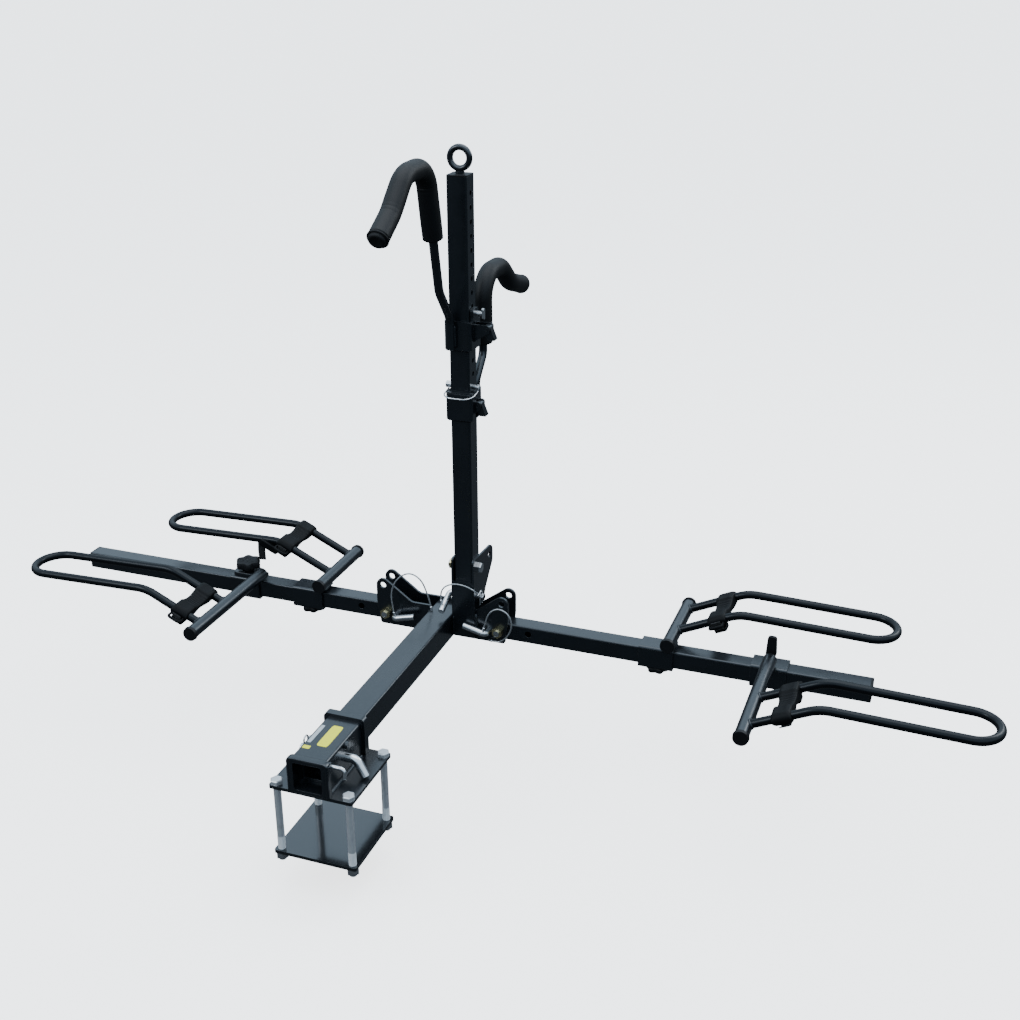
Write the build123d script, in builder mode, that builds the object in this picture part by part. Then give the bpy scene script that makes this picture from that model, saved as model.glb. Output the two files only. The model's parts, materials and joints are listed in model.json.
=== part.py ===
from build123d import *
import os
from math import atan2, cos, degrees, pi, radians, sin, tan

# Platform bike rack: a square shank held in a receiver that clamps onto a square bumper,
# with two folding wings, a folding mast with two hooks, and four sliding wheel holders.
# Millimetres. +X runs along the right wing, +Y points away from the vehicle, +Z is up.
# The origin is the centre of the upper plate's underside, the face that lies on the bumper.

os.makedirs("parts", exist_ok=True)

# Fits
pin_fit = 0.1              # radial, a pin or bolt in its bore
bolt_play = 0.4            # radial, a bolt in a plain clearance hole
slide_play = 0.5           # each side, a clamp on a wing and the shank in the receiver
seat_gap = 0.3             # between soft or curved pieces that rest on each other

# Bumper adapter
plate_side = 152.4
plate_thickness = 6.35
plate_corner = 4.0
bumper_gap = 124.0
bolt_spacing = 132.0
bolt_diameter = 12.7
bolt_flats = 19.0
bolt_head = 8.0
crown_taper = 40.0
bolt_tail = 4.5
nut_height = 11.0
receiver_wall = 5.85
receiver_corner = 5.0
receiver_start = -80.0
receiver_end = 70.0
collar_rise = 6.25
collar_length = 14.0
collar_corner = 8.0
weld_boss = 14.0
boss_reach = 5.0
hitch_pin_diameter = 15.9
hitch_pin_y = -2.0
hitch_pin_tail = 20.25
hitch_pin_neck = 18.25
hitch_pin_bend = 15.0
hitch_handle_run = 18.0
hitch_handle_rest = 4.75
hitch_handle_rake = 4.0
hitch_clip_inset = 6.0
clip_wire = 3.0
rattle_bolt_diameter = 7.0
rattle_bolt_y = -64.0
rattle_bolt_rise = 21.9
rattle_bolt_reach = 28.25
rattle_bolt_drop = 16.0

# Shank and hub
shank_side = 50.8
shank_wall = 4.8
shank_corner = 4.0
shank_start = -50.0
hub_front = 484.2
hub_plate = 5.0
wing_play = 1.0            # each side, a wing between the hub's plates
hub_drop = 24.0
hub_rise = 33.0
hub_foot_reach = 48.0
hub_web_gap = 8.0
ear_radius = 14.0
ear_slope = 36.4
wing_pivot_inset = 35.0
wing_pivot_lift = 2.0
wing_bolt_diameter = 12.0
lock_pin_diameter = 12.7
lock_pin_inset = 21.0
lock_pin_drop = 2.0
wing_hole_distance = 59.0
wing_fold = 84.0
handle_length = 46.0
handle_lift = 12.0
handle_bend = 9.0
lock_pin_tail = 10.0

# Wings
beam_side = 35.0
beam_wall = 2.5
beam_corner = 3.0
wing_gap = 11.7
beam_outer = 824.0
beam_cap = 4.0
plug_depth = 14.0

# Mast and its bracket
mast_side = 38.1
mast_wall = 3.0
mast_corner = 4.0
mast_play = 0.4
mast_set_back = 16.0
mast_foot_rise = 42.9
mast_top = 908.0
mast_cap = 2.0
bracket_wall = 4.0
web_rise = 99.9
bracket_rise = 147.9
bracket_ear = 18.0
mast_pivot_rise = 124.9
mast_pin_drop = 62.0
mast_bolt_diameter = 12.7
mast_handle_x = 13.0
ratchet_hole = 9.0
ratchet_pitch = 25.0
ratchet_first = 528.8
eye_outer = 47.0
eye_inner = 25.0
eye_stem = 10.0

# Hook sleeves, hooks and foam
sleeve_wall = 6.15
sleeve_play = 0.8
sleeve_height = 55.0
upper_sleeve_z = 600.0
lower_sleeve_z = 467.0
hook_rod = 15.9
hook_offset = 10.35
weld_gap = 0.05
foam_diameter = 36.0
lever_width = 15.0
lever_pin = 5.0
upper_lever_drop = 13.0
upper_lever_out = 24.0
lower_lever_drop = 25.0
lower_lever_out = 5.5
ear_wall = 4.0
bail_pin_diameter = 8.0
bail_wire = 2.6
bail_pin_tail = 6.05
bail_wire_inset = 4.0
bail_pin_head = 10.0
bail_run_clear = 12.0
plunger_diameter = 9.0

# Wheel holders
clamp_length = 66.0
clamp_wall = 4.5
arm_diameter = 25.4
arm_wall = 2.5
arm_sink = 1.5
arm_overhang = 0.7
knob_clear = 1.7
back_arm_reach = 150.3
front_arm_reach = 281.7
arm_plug = 29.0
arm_plug_rim = 6.0
hoop_rod = 15.9
hoop_half_width = 45.0
hoop_length = 400.0
hoop_rise_run = 118.0
hoop_rise = 56.0
hoop_fall = 8.0
hoop_bend = 80.0
back_hoop_set = 81.3
front_hoop_set = 198.7
block_length = 117.0
block_width = 36.0
block_height = 25.0
cradle_radius = 46.0
cradle_depth = 8.0
strap_slot = (7.0, 15.0)
strap_reach = 17.0
strap_width = 22.0
strap_tab = 7.0
knob_diameter = 46.0
top_knob_diameter = 48.0
knob_height = 11.0
knob_lobes = 6
stud_diameter = 8.0
stem_diameter = 18.0
wing_height = 53.0
wing_thickness = 7.0

# Safety wires
wire_diameter = 3.0

# Places that follow from the sizes above
ratchet_count = int((mast_top - ratchet_first) / ratchet_pitch)
receiver_bore = shank_side + 2 * slide_play
receiver_side = receiver_bore + 2 * receiver_wall
half_receiver = receiver_side / 2
collar_side = receiver_side + 2 * collar_rise
hitch_handle_drop = half_receiver - hitch_handle_rest
shank_z = plate_thickness + half_receiver
hub_back = hub_front + 2 * hub_plate + beam_side + 2 * wing_play
beam_y = hub_front + hub_plate + wing_play + beam_side / 2
hub_bottom = shank_z - hub_drop
mast_x = shank_side / 2 + bracket_wall + mast_play + mast_side / 2
bracket_left = shank_side / 2
bracket_right = mast_x + mast_side / 2 + mast_play + bracket_wall
beam_inner = bracket_right + wing_gap
wing_pivot_x = beam_inner + wing_pivot_inset
hub_foot = beam_inner + hub_foot_reach
hub_web_reach = beam_inner - hub_web_gap
wing_pivot_z = shank_z + wing_pivot_lift
lock_pin_z = shank_z - lock_pin_drop
lock_pin_x = wing_pivot_x - lock_pin_inset
lock_pin_radius = (lock_pin_inset ** 2 + (wing_pivot_lift + lock_pin_drop) ** 2) ** 0.5
lock_pin_angle = degrees(atan2(wing_pivot_lift + lock_pin_drop, lock_pin_inset))
ear_x = wing_pivot_x + wing_hole_distance * cos(radians(wing_fold))
ear_z = wing_pivot_z + wing_hole_distance * sin(radians(wing_fold))
mast_y = hub_front + mast_set_back
mast_bottom = shank_z + mast_foot_rise
web_top = shank_z + web_rise
bracket_top = shank_z + bracket_rise
mast_pivot_z = shank_z + mast_pivot_rise
bracket_front = mast_y - mast_side / 2 - mast_play - bracket_wall
bracket_bottom = hub_bottom + hub_plate
mast_pin_z = mast_pivot_z - mast_pin_drop
ear_hole_y = mast_y + mast_pin_drop
handle_y = bracket_front - lock_pin_diameter / 2 - 0.9
clamp_bore = beam_side + 2 * slide_play
clamp_outer = clamp_bore + 2 * clamp_wall
clamp_top = shank_z + clamp_outer / 2
clamp_bottom = shank_z - clamp_outer / 2
arm_z = clamp_top + arm_diameter / 2 - arm_sink
back_arm = (beam_y - clamp_outer / 2 - arm_overhang, beam_y + back_arm_reach)
front_arm = (beam_y - front_arm_reach, beam_y - stem_diameter / 2 - knob_clear)
back_hoop_y = beam_y + back_hoop_set
front_hoop_y = beam_y - front_hoop_set
sleeve_bore = mast_side + 2 * sleeve_play
sleeve_side = mast_side + 2 * (sleeve_play + sleeve_wall)
sleeve_half = sleeve_side / 2
rattle_bolt_z = shank_z + rattle_bolt_rise
bail_pin_z = ratchet_first


def save(part, name):
    part.label = name
    export_step(part, f"parts/{name}.step")


def cross_plane(y, x=0.0, z=0.0):
    """Upright plane across the rack: local x is +X, local y is +Z, the normal is -Y."""
    return Plane(origin=(x, y, z), x_dir=(1, 0, 0), z_dir=(0, -1, 0))


def side_plane(x, y=0.0, z=0.0):
    """Upright plane along the shank: local x is +Y, local y is +Z, the normal is +X."""
    return Plane(origin=(x, y, z), x_dir=(0, 1, 0), z_dir=(1, 0, 0))


def rod(points, radii, diameter, mode=Mode.ADD):
    """Round bar along straight runs joined by tangent arcs; returns its centre line."""
    with BuildLine() as path:
        FilletPolyline(*points, radius=radii)
    with BuildSketch(Plane(path.line @ 0, z_dir=path.line % 0)) as section:
        Circle(diameter / 2)
    sweep(sections=section.sketch, path=path.line, mode=mode)
    return path.wire()


def outline(points, radii):
    """Face inside straight runs with rounded corners; only the two end points stay sharp."""
    with BuildLine() as edge:
        rounded = FilletPolyline(*points, radius=radii)
        Line(rounded @ 1, rounded @ 0)
    make_face(edge.edges())


def square_tube(side, wall, corner, inner_corner):
    """Sketch of a square tube's section."""
    RectangleRounded(side, side, corner)
    RectangleRounded(side - 2 * wall, side - 2 * wall, inner_corner, mode=Mode.SUBTRACT)


def drill(plane, places, depth):
    """Cuts round holes, given as (x, y, diameter) on the plane, to a depth along its normal."""
    with BuildSketch(plane) as holes:
        for x, y, diameter in places:
            with Locations((x, y)):
                Circle(diameter / 2)
    extrude(holes.sketch, amount=depth, mode=Mode.SUBTRACT)


def hexagons(plane, places, flats, height):
    """Hexagon heads at places on the plane, each with its last stretch tapered as a crown."""
    crown = 0.2 * height
    with BuildSketch(plane) as lower:
        with Locations(*places):
            RegularPolygon(flats / 2, 6, major_radius=False)
    extrude(lower.sketch, amount=height - crown)
    with BuildSketch(plane.offset(height - crown)) as upper:
        with Locations(*places):
            RegularPolygon(flats / 2, 6, major_radius=False)
    extrude(upper.sketch, amount=crown, taper=crown_taper)


# Bumper adapter: two plates, four bolts and their nuts
bolt_places = GridLocations(bolt_spacing, bolt_spacing, 2, 2)
corners = [(place.position.X, place.position.Y) for place in bolt_places]
low_plate_z = -bumper_gap - plate_thickness
for name, z in (("upper_plate", 0.0), ("lower_plate", low_plate_z)):
    with BuildPart() as plate:
        with BuildSketch(Plane.XY.offset(z)):
            RectangleRounded(plate_side, plate_side, plate_corner)
            with bolt_places:
                Circle(bolt_diameter / 2 + bolt_play, mode=Mode.SUBTRACT)
        extrude(amount=plate_thickness)
    save(plate.part, name)

bolt_end = low_plate_z - nut_height - bolt_tail
with BuildPart() as bumper_bolts:
    with BuildSketch(Plane.XY.offset(bolt_end)):
        with bolt_places:
            Circle(bolt_diameter / 2)
    extrude(amount=plate_thickness - bolt_end)
    hexagons(Plane.XY.offset(plate_thickness), corners, bolt_flats, bolt_head)
save(bumper_bolts.part, "bumper_bolts")

with BuildPart() as bumper_nuts:
    with BuildSketch(Plane.XY.offset(low_plate_z - nut_height)):
        with bolt_places:
            RegularPolygon(bolt_flats / 2, 6, major_radius=False)
            Circle(bolt_diameter / 2 + pin_fit, mode=Mode.SUBTRACT)
    extrude(amount=nut_height)
save(bumper_nuts.part, "bumper_nuts")

# Receiver tube with its mouth collar, bored for the hitch pin and the anti-rattle bolt
with BuildPart() as receiver_tube:
    with BuildSketch(cross_plane(receiver_end, z=shank_z)):
        RectangleRounded(receiver_side, receiver_side, receiver_corner)
    extrude(amount=receiver_end - receiver_start)
    with BuildSketch(cross_plane(receiver_end, z=shank_z)):
        RectangleRounded(collar_side, collar_side, collar_corner)
        with Locations((0, -half_receiver - collar_side / 2)):
            Rectangle(2 * collar_side, collar_side, mode=Mode.SUBTRACT)
    extrude(amount=collar_length)
    with BuildSketch(side_plane(half_receiver - 1)):
        for y in (rattle_bolt_y, 0.0):
            with Locations((y, rattle_bolt_z)):
                Circle(weld_boss / 2)
    extrude(amount=boss_reach + 1)
    with BuildSketch(cross_plane(receiver_end, z=shank_z)):
        RectangleRounded(receiver_bore, receiver_bore, shank_corner)
    extrude(amount=receiver_end - receiver_start, mode=Mode.SUBTRACT)
    hitch_bore = hitch_pin_diameter + 2 * pin_fit
    drill(side_plane(-receiver_side), [(hitch_pin_y, shank_z, hitch_bore)], 2 * receiver_side)
    rattle_bore = rattle_bolt_diameter + 2 * pin_fit
    drill(side_plane(0), [(rattle_bolt_y, rattle_bolt_z, rattle_bore)], receiver_side)
save(receiver_tube.part, "receiver_tube")

# Hitch pin with its bent handle on the right and a hairpin clip through its left end
hitch_pin_left = -half_receiver - hitch_pin_tail
hitch_pin_bend_x = half_receiver + hitch_pin_neck
hitch_clip_x = hitch_pin_left + hitch_clip_inset
with BuildPart() as hitch_pin:
    rod(
        [
            (hitch_pin_left, hitch_pin_y, shank_z),
            (hitch_pin_bend_x, hitch_pin_y, shank_z),
            (
                hitch_pin_bend_x + hitch_handle_run,
                hitch_pin_y - hitch_handle_rake,
                shank_z - hitch_handle_drop,
            ),
        ],
        [hitch_pin_bend],
        hitch_pin_diameter,
    )
    clip_bore = clip_wire + 4 * pin_fit
    drill(Plane.XY, [(hitch_clip_x, hitch_pin_y, clip_bore)], 2 * shank_z)
save(hitch_pin.part, "hitch_pin")

with BuildPart() as hitch_pin_clip:
    rod(
        [
            (hitch_clip_x, hitch_pin_y, shank_z - 14),
            (hitch_clip_x, hitch_pin_y, shank_z + 20),
            (hitch_clip_x, hitch_pin_y + 14, shank_z + 20),
            (hitch_clip_x, hitch_pin_y + 10, shank_z - 14),
        ],
        [6.0, 6.0],
        clip_wire,
    )
save(hitch_pin_clip.part, "hitch_pin_clip")

# Anti-rattle bolt: it presses the shank against the far wall of the receiver
rattle_handle_x = half_receiver + rattle_bolt_reach
with BuildPart() as rattle_bolt:
    rod(
        [
            (shank_side / 2 + pin_fit, rattle_bolt_y, rattle_bolt_z),
            (rattle_handle_x, rattle_bolt_y, rattle_bolt_z),
            (rattle_handle_x + 1, rattle_bolt_y - 2, rattle_bolt_z - rattle_bolt_drop),
        ],
        [rattle_bolt_diameter],
        rattle_bolt_diameter,
    )
save(rattle_bolt.part, "rattle_bolt")

# Shank: square tube from inside the receiver to the hub's back plate
with BuildPart() as shank_tube:
    with BuildSketch(cross_plane(hub_back - hub_plate, z=shank_z)):
        square_tube(shank_side, shank_wall, shank_corner, 1.0)
    extrude(amount=hub_back - hub_plate - shank_start)
    drill(side_plane(-shank_side), [(hitch_pin_y, shank_z, hitch_bore)], 2 * shank_side)
save(shank_tube.part, "shank_tube")

# Hub: back plate, two front plates and two bottom webs, with a rounded ear over each pivot
ear_reach = ear_x + ear_radius
slope = radians(ear_slope)
ear_top_x = ear_x - ear_radius * sin(slope)
ear_top_z = ear_z + ear_radius * cos(slope)
ear_corner_z = ear_top_z + (ear_reach - ear_top_x) * tan(slope)
plate_top = shank_z + hub_rise
slope_foot_x = ear_top_x - (ear_top_z - plate_top) / tan(slope)


def hub_outline(side):
    """Face of a hub plate from the middle out to its ear, on one side."""
    points = [
        (0, hub_bottom),
        (side * hub_foot, hub_bottom),
        (side * ear_reach, shank_z + 25),
        (side * ear_reach, ear_corner_z),
        (side * slope_foot_x, plate_top),
        (0, plate_top),
    ]
    outline(points, [5.0, 40.0, ear_radius, 18.0])


with BuildPart() as hub:
    with BuildSketch(cross_plane(hub_back)):
        hub_outline(-1)
        hub_outline(1)
    extrude(amount=hub_plate)
    with BuildSketch(cross_plane(hub_front + hub_plate)):
        hub_outline(-1)
        hub_outline(1)
        with Locations(((bracket_right - shank_side / 2) / 2, shank_z)):
            Rectangle(bracket_right + shank_side / 2, 4 * hub_rise, mode=Mode.SUBTRACT)
    extrude(amount=hub_plate)
    with BuildSketch(Plane.XY.offset(hub_bottom)):
        for side in (-1, 1):
            web = hub_web_reach - shank_side / 2
            with Locations((side * (hub_web_reach - web / 2), (hub_front + hub_back) / 2)):
                Rectangle(web, hub_back - hub_front)
    extrude(amount=hub_plate)
    for side in (-1, 1):
        holes = [
            (side * wing_pivot_x, wing_pivot_z, wing_bolt_diameter + 2 * pin_fit),
            (side * lock_pin_x, lock_pin_z, lock_pin_diameter + 2 * pin_fit),
            (side * ear_x, ear_z, lock_pin_diameter + 2 * pin_fit),
        ]
        drill(cross_plane(hub_back), holes, hub_back - hub_front)
save(hub.part, "hub")

# Mast bracket: an upright channel beside the shank; its ears take the lock pin when the mast is down
cheek_points = [
    (hub_back - hub_plate, bracket_bottom),
    (bracket_front, bracket_bottom),
    (bracket_front, bracket_top),
    (mast_y + 4, bracket_top - 1),
    (ear_hole_y + bracket_ear, mast_pivot_z + bracket_ear),
    (ear_hole_y + bracket_ear, mast_pivot_z - bracket_ear),
    (hub_back + 8, mast_pivot_z - bracket_ear - 44),
    (hub_back - hub_plate, plate_top + 6),
]
cheek_radii = [2.0, 6.0, 60.0, bracket_ear - 1, bracket_ear - 1, 30.0]
with BuildPart() as mast_bracket:
    for x in (bracket_left, bracket_right - bracket_wall):
        with BuildSketch(side_plane(x)):
            outline(cheek_points, cheek_radii)
        extrude(amount=bracket_wall)
    with BuildSketch(Plane.XY.offset(bracket_bottom)):
        with Locations(((bracket_left + bracket_right) / 2, bracket_front + bracket_wall / 2)):
            Rectangle(bracket_right - bracket_left, bracket_wall)
    extrude(amount=web_top - bracket_bottom)
    cheek_holes = [
        (mast_y, mast_pivot_z, mast_bolt_diameter + 2 * pin_fit),
        (mast_y, mast_pin_z, lock_pin_diameter + 2 * pin_fit),
        (ear_hole_y, mast_pivot_z, lock_pin_diameter + 2 * pin_fit),
    ]
    drill(side_plane(bracket_left), cheek_holes, bracket_right - bracket_left)
save(mast_bracket.part, "mast_bracket")

# Pivot bolts and nuts: one pair through each side of the hub and one through the mast bracket
pivots = [
    (Vector(-wing_pivot_x, hub_back, wing_pivot_z), Vector(0, -1, 0), wing_bolt_diameter, "hub"),
    (Vector(wing_pivot_x, hub_back, wing_pivot_z), Vector(0, -1, 0), wing_bolt_diameter, "hub"),
    (Vector(bracket_right, mast_y, mast_pivot_z), Vector(-1, 0, 0), mast_bolt_diameter, "mast"),
]
grips = {"hub": hub_back - hub_front, "mast": bracket_right - bracket_left}
pivot_nut = 10.0
with BuildPart() as pivot_bolts:
    for start, along, diameter, place in pivots:
        with BuildSketch(Plane(start, z_dir=along)):
            Circle(diameter / 2)
        extrude(amount=grips[place] + pivot_nut + 3)
        hexagons(Plane(start, z_dir=-along), [(0, 0)], bolt_flats, bolt_head)
save(pivot_bolts.part, "pivot_bolts")

with BuildPart() as pivot_nuts:
    for start, along, diameter, place in pivots:
        with BuildSketch(Plane(start + along * grips[place], z_dir=along)):
            RegularPolygon(bolt_flats / 2, 6, major_radius=False)
            Circle(diameter / 2 + pin_fit, mode=Mode.SUBTRACT)
        extrude(amount=pivot_nut)
save(pivot_nuts.part, "pivot_nuts")

# Lock pins: one on each side of the hub, and one across the mast bracket
for side, name in ((-1, "left_lock_pin"), (1, "right_lock_pin")):
    with BuildPart() as lock_pin:
        rod(
            [
                (side * lock_pin_x, hub_back + lock_pin_tail, lock_pin_z),
                (side * lock_pin_x, handle_y, lock_pin_z),
                (side * (lock_pin_x - handle_length), handle_y, lock_pin_z + handle_lift),
            ],
            [handle_bend],
            lock_pin_diameter,
        )
    save(lock_pin.part, name)

mast_clip_x = bracket_right + 7
mast_handle_end = (mast_handle_x - 1, mast_y - handle_length, mast_pin_z - 22)
with BuildPart() as mast_lock_pin:
    rod(
        [
            (bracket_right + 12, mast_y, mast_pin_z),
            (mast_handle_x, mast_y, mast_pin_z),
            mast_handle_end,
        ],
        [handle_bend],
        lock_pin_diameter,
    )
    drill(Plane.XY.offset(mast_pin_z - 20), [(mast_clip_x, mast_y, clip_bore)], 40)
save(mast_lock_pin.part, "mast_lock_pin")

with BuildPart() as mast_pin_clip:
    rod(
        [
            (mast_clip_x, mast_y, mast_pin_z - 13),
            (mast_clip_x, mast_y, mast_pin_z + 15),
            (mast_clip_x, mast_y - 13, mast_pin_z + 15),
            (mast_clip_x, mast_y - 10, mast_pin_z - 12),
        ],
        [5.5, 5.5],
        clip_wire,
    )
save(mast_pin_clip.part, "mast_pin_clip")

# Wings: square tubes with a pivot bore and an open arc slot that hooks over the lock pin
beam_bore = beam_side - 2 * beam_wall
slot_width = lock_pin_diameter + 2 * bolt_play
for side, side_name in ((-1, "left"), (1, "right")):
    slot_start = 180 + lock_pin_angle if side > 0 else -lock_pin_angle
    with BuildPart() as beam:
        with BuildSketch(side_plane(side * beam_inner, y=beam_y, z=shank_z)):
            square_tube(beam_side, beam_wall, beam_corner, 1.0)
        extrude(amount=side * (beam_outer - beam_inner))
        wing_holes = [
            (side * wing_pivot_x, wing_pivot_z, wing_bolt_diameter + 2 * pin_fit),
            (side * (wing_pivot_x + wing_hole_distance), wing_pivot_z, slot_width),
        ]
        drill(cross_plane(hub_back), wing_holes, hub_back - hub_front)
        with BuildSketch(cross_plane(hub_back, side * wing_pivot_x, wing_pivot_z)):
            with BuildLine() as slot_line:
                CenterArc((0, 0), lock_pin_radius, slot_start, -side * (wing_fold + 6))
            SlotArc(slot_line.edges()[0], slot_width)
        extrude(amount=hub_back - hub_front, mode=Mode.SUBTRACT)
    save(beam.part, f"{side_name}_beam")

    with BuildPart() as end_cap:
        with BuildSketch(side_plane(side * beam_outer, y=beam_y, z=shank_z)):
            RectangleRounded(beam_side, beam_side, beam_corner)
        extrude(amount=side * beam_cap)
        cap_face = end_cap.faces().sort_by(Axis.X)[-1 if side > 0 else 0]
        fillet(cap_face.edges(), radius=beam_cap / 2)
        with BuildSketch(side_plane(side * beam_outer, y=beam_y, z=shank_z)):
            RectangleRounded(beam_bore - 2 * seat_gap, beam_bore - 2 * seat_gap, 1.0)
        extrude(amount=-side * plug_depth)
    save(end_cap.part, f"{side_name}_end_cap")

# Mast: square tube with ratchet holes and a slot that lets it swing off its lock pin
mast_across = side_plane(mast_x - mast_side)
with BuildPart() as mast_tube:
    with BuildSketch(Plane.XY.offset(mast_bottom)):
        with Locations((mast_x, mast_y)):
            square_tube(mast_side, mast_wall, mast_corner, 1.0)
    extrude(amount=mast_top - mast_bottom)
    mast_holes = [(mast_y, mast_pivot_z, mast_bolt_diameter + 2 * pin_fit)]
    for number in range(ratchet_count):
        mast_holes.append((mast_y, ratchet_first + number * ratchet_pitch, ratchet_hole))
    drill(mast_across, mast_holes, 2 * mast_side)
    with BuildSketch(side_plane(mast_x - mast_side, y=mast_y, z=mast_pivot_z)):
        with BuildLine() as slot_line:
            CenterArc((0, 0), mast_pin_drop, 238, 32)
        SlotArc(slot_line.edges()[0], slot_width)
    extrude(amount=2 * mast_side, mode=Mode.SUBTRACT)
save(mast_tube.part, "mast_tube")

with BuildPart() as mast_top_cap:
    with BuildSketch(Plane.XY.offset(mast_top)):
        with Locations((mast_x, mast_y)):
            RectangleRounded(mast_side, mast_side, mast_corner)
    extrude(amount=mast_cap)
    inside = mast_side - 2 * mast_wall - 2 * seat_gap
    with BuildSketch(Plane.XY.offset(mast_top)):
        with Locations((mast_x, mast_y)):
            RectangleRounded(inside, inside, 1.0)
    extrude(amount=-plug_depth)
    drill(Plane.XY.offset(mast_top - plug_depth), [(mast_x, mast_y, eye_stem + 2 * pin_fit)], 30)
save(mast_top_cap.part, "mast_top_cap")

# Eye bolt on the mast's top, with its nut under the cap
cap_top = mast_top + mast_cap
eye_z = cap_top + 3.5 + eye_outer / 2
eye_wire = (eye_outer - eye_inner) / 2
with BuildPart() as eye_bolt:
    with BuildSketch(Plane.XY.offset(eye_z)):
        with Locations((mast_x + (eye_outer - eye_wire) / 2, mast_y)):
            Circle(eye_wire / 2)
    revolve(axis=Axis((mast_x, mast_y, eye_z), (0, 1, 0)), revolution_arc=360)
    with BuildSketch(Plane.XY.offset(cap_top)):
        with Locations((mast_x, mast_y)):
            Circle(0.8 * eye_stem)
    extrude(amount=4.5)
    with BuildSketch(Plane.XY.offset(mast_top - plug_depth - 12)):
        with Locations((mast_x, mast_y)):
            Circle(eye_stem / 2)
    extrude(amount=plug_depth + 12 + mast_cap)
    with BuildSketch(Plane.XY.offset(mast_top - plug_depth)):
        with Locations((mast_x, mast_y)):
            RegularPolygon(8, 6, major_radius=False)
    extrude(amount=-8)
save(eye_bolt.part, "eye_bolt")

# Bail pin through the mast above the lower sleeve, and the wire bail that keeps it there
bail_left = mast_x - mast_side / 2 - seat_gap
bail_right = mast_x + sleeve_half + bail_pin_tail
with BuildPart() as bail_pin:
    with BuildSketch(side_plane(bail_left, y=mast_y, z=bail_pin_z)):
        Circle(bail_pin_diameter / 2)
    extrude(amount=bail_right - bail_left)
    with BuildSketch(side_plane(bail_left, y=mast_y, z=bail_pin_z)):
        Circle(bail_pin_diameter / 2 + 2)
    extrude(amount=-14)
    bail_x = (bail_left - bail_pin_head, bail_right - bail_wire_inset)
    for x in bail_x:
        drill(Plane.XY.offset(bail_pin_z - 10), [(x, mast_y, bail_wire + 2 * pin_fit)], 20)
save(bail_pin.part, "bail_pin")

bail_reach = sleeve_half + bail_run_clear
with BuildPart() as bail_loop:
    rod(
        [
            (bail_x[0], mast_y, bail_pin_z + 5),
            (bail_x[0], mast_y, bail_pin_z - 8),
            (bail_x[0], mast_y - bail_reach, bail_pin_z - 14),
            (bail_x[1], mast_y - bail_reach, bail_pin_z - 14),
            (bail_x[1], mast_y, bail_pin_z - 8),
            (bail_x[1], mast_y, bail_pin_z + 5),
        ],
        [2.6, 20.0, 20.0, 2.6],
        bail_wire,
    )
save(bail_loop.part, "bail_wire")

# Hook sleeves: a pawl lever looks through a window on the right side, between two ears
ear_inside = lever_width / 2 + slide_play
window_width = 2 * ear_inside
plunger_rise = 12.0
sleeves = [
    ("upper", upper_sleeve_z, upper_lever_out, upper_lever_drop),
    ("lower", lower_sleeve_z, lower_lever_out, lower_lever_drop),
]
for hook_name, sleeve_z, lever_out, lever_drop in sleeves:
    sleeve_top = sleeve_z + sleeve_height
    lever_x = mast_x + sleeve_half + lever_out
    lever_z = sleeve_top - lever_drop
    with BuildPart() as sleeve:
        with BuildSketch(Plane.XY.offset(sleeve_z)):
            with Locations((mast_x, mast_y)):
                RectangleRounded(sleeve_side, sleeve_side, 6.0)
        extrude(amount=sleeve_height)
        chamfer(sleeve.faces().sort_by(Axis.Z)[0].edges(), length=3.0)
        if hook_name == "upper":
            with BuildSketch(side_plane(mast_x + sleeve_bore / 2, y=mast_y, z=sleeve_top)):
                RectangleRounded(24, 2 * plunger_rise + 20, 6)
            extrude(amount=sleeve_half - sleeve_bore / 2)
        with BuildSketch(Plane.XY.offset(sleeve_z)):
            with Locations((mast_x, mast_y)):
                RectangleRounded(sleeve_bore, sleeve_bore, mast_corner)
        extrude(amount=sleeve_height, mode=Mode.SUBTRACT)
        for y in (mast_y - ear_inside, mast_y + ear_inside + ear_wall):
            with BuildSketch(cross_plane(y)):
                ear_points = [
                    (mast_x + sleeve_half - 1, lever_z + 7),
                    (lever_x + 5.5, lever_z + 7),
                    (lever_x + 5.5, lever_z - 6),
                    (mast_x + sleeve_half - 1, lever_z - 14 - lever_out / 2),
                ]
                outline(ear_points, [5.0, 5.0])
            extrude(amount=ear_wall)
        with BuildSketch(side_plane(mast_x + mast_side / 2, y=mast_y, z=lever_z - 9)):
            Rectangle(window_width, 32)
        extrude(amount=sleeve_half - mast_side / 2 + 0.01, mode=Mode.SUBTRACT)
        ear_span = window_width + 2 * ear_wall
        with BuildSketch(cross_plane(mast_y + ear_span / 2 + 1.5, lever_x, lever_z)):
            Circle(lever_pin / 2)
        extrude(amount=ear_span + 3)
        if hook_name == "upper":
            plunger_z = sleeve_top + plunger_rise
            plunger_bore = plunger_diameter + 2 * pin_fit
            drill(side_plane(mast_x), [(mast_y, plunger_z, plunger_bore)], mast_side)
    save(sleeve.part, f"{hook_name}_sleeve")

    nose_x = mast_x + mast_side / 2 + seat_gap
    with BuildPart() as lever:
        with BuildSketch(cross_plane(mast_y + lever_width / 2)):
            lever_points = [
                (nose_x, lever_z - 14),
                (nose_x, lever_z - 7),
                (lever_x - 5, lever_z + 5),
                (lever_x + 4.5, lever_z + 5),
                (lever_x + 14.5, lever_z - 21),
                (lever_x + 1, lever_z - 21),
                (lever_x - 3, lever_z - 14),
            ]
            outline(lever_points, [1.0, 3.0, 4.0, 1.0, 3.0])
        extrude(amount=lever_width)
        bore = lever_pin + 2 * pin_fit
        drill(cross_plane(mast_y + lever_width), [(lever_x, lever_z, bore)], 2 * lever_width)
    save(lever.part, f"{hook_name}_lever")

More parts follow.
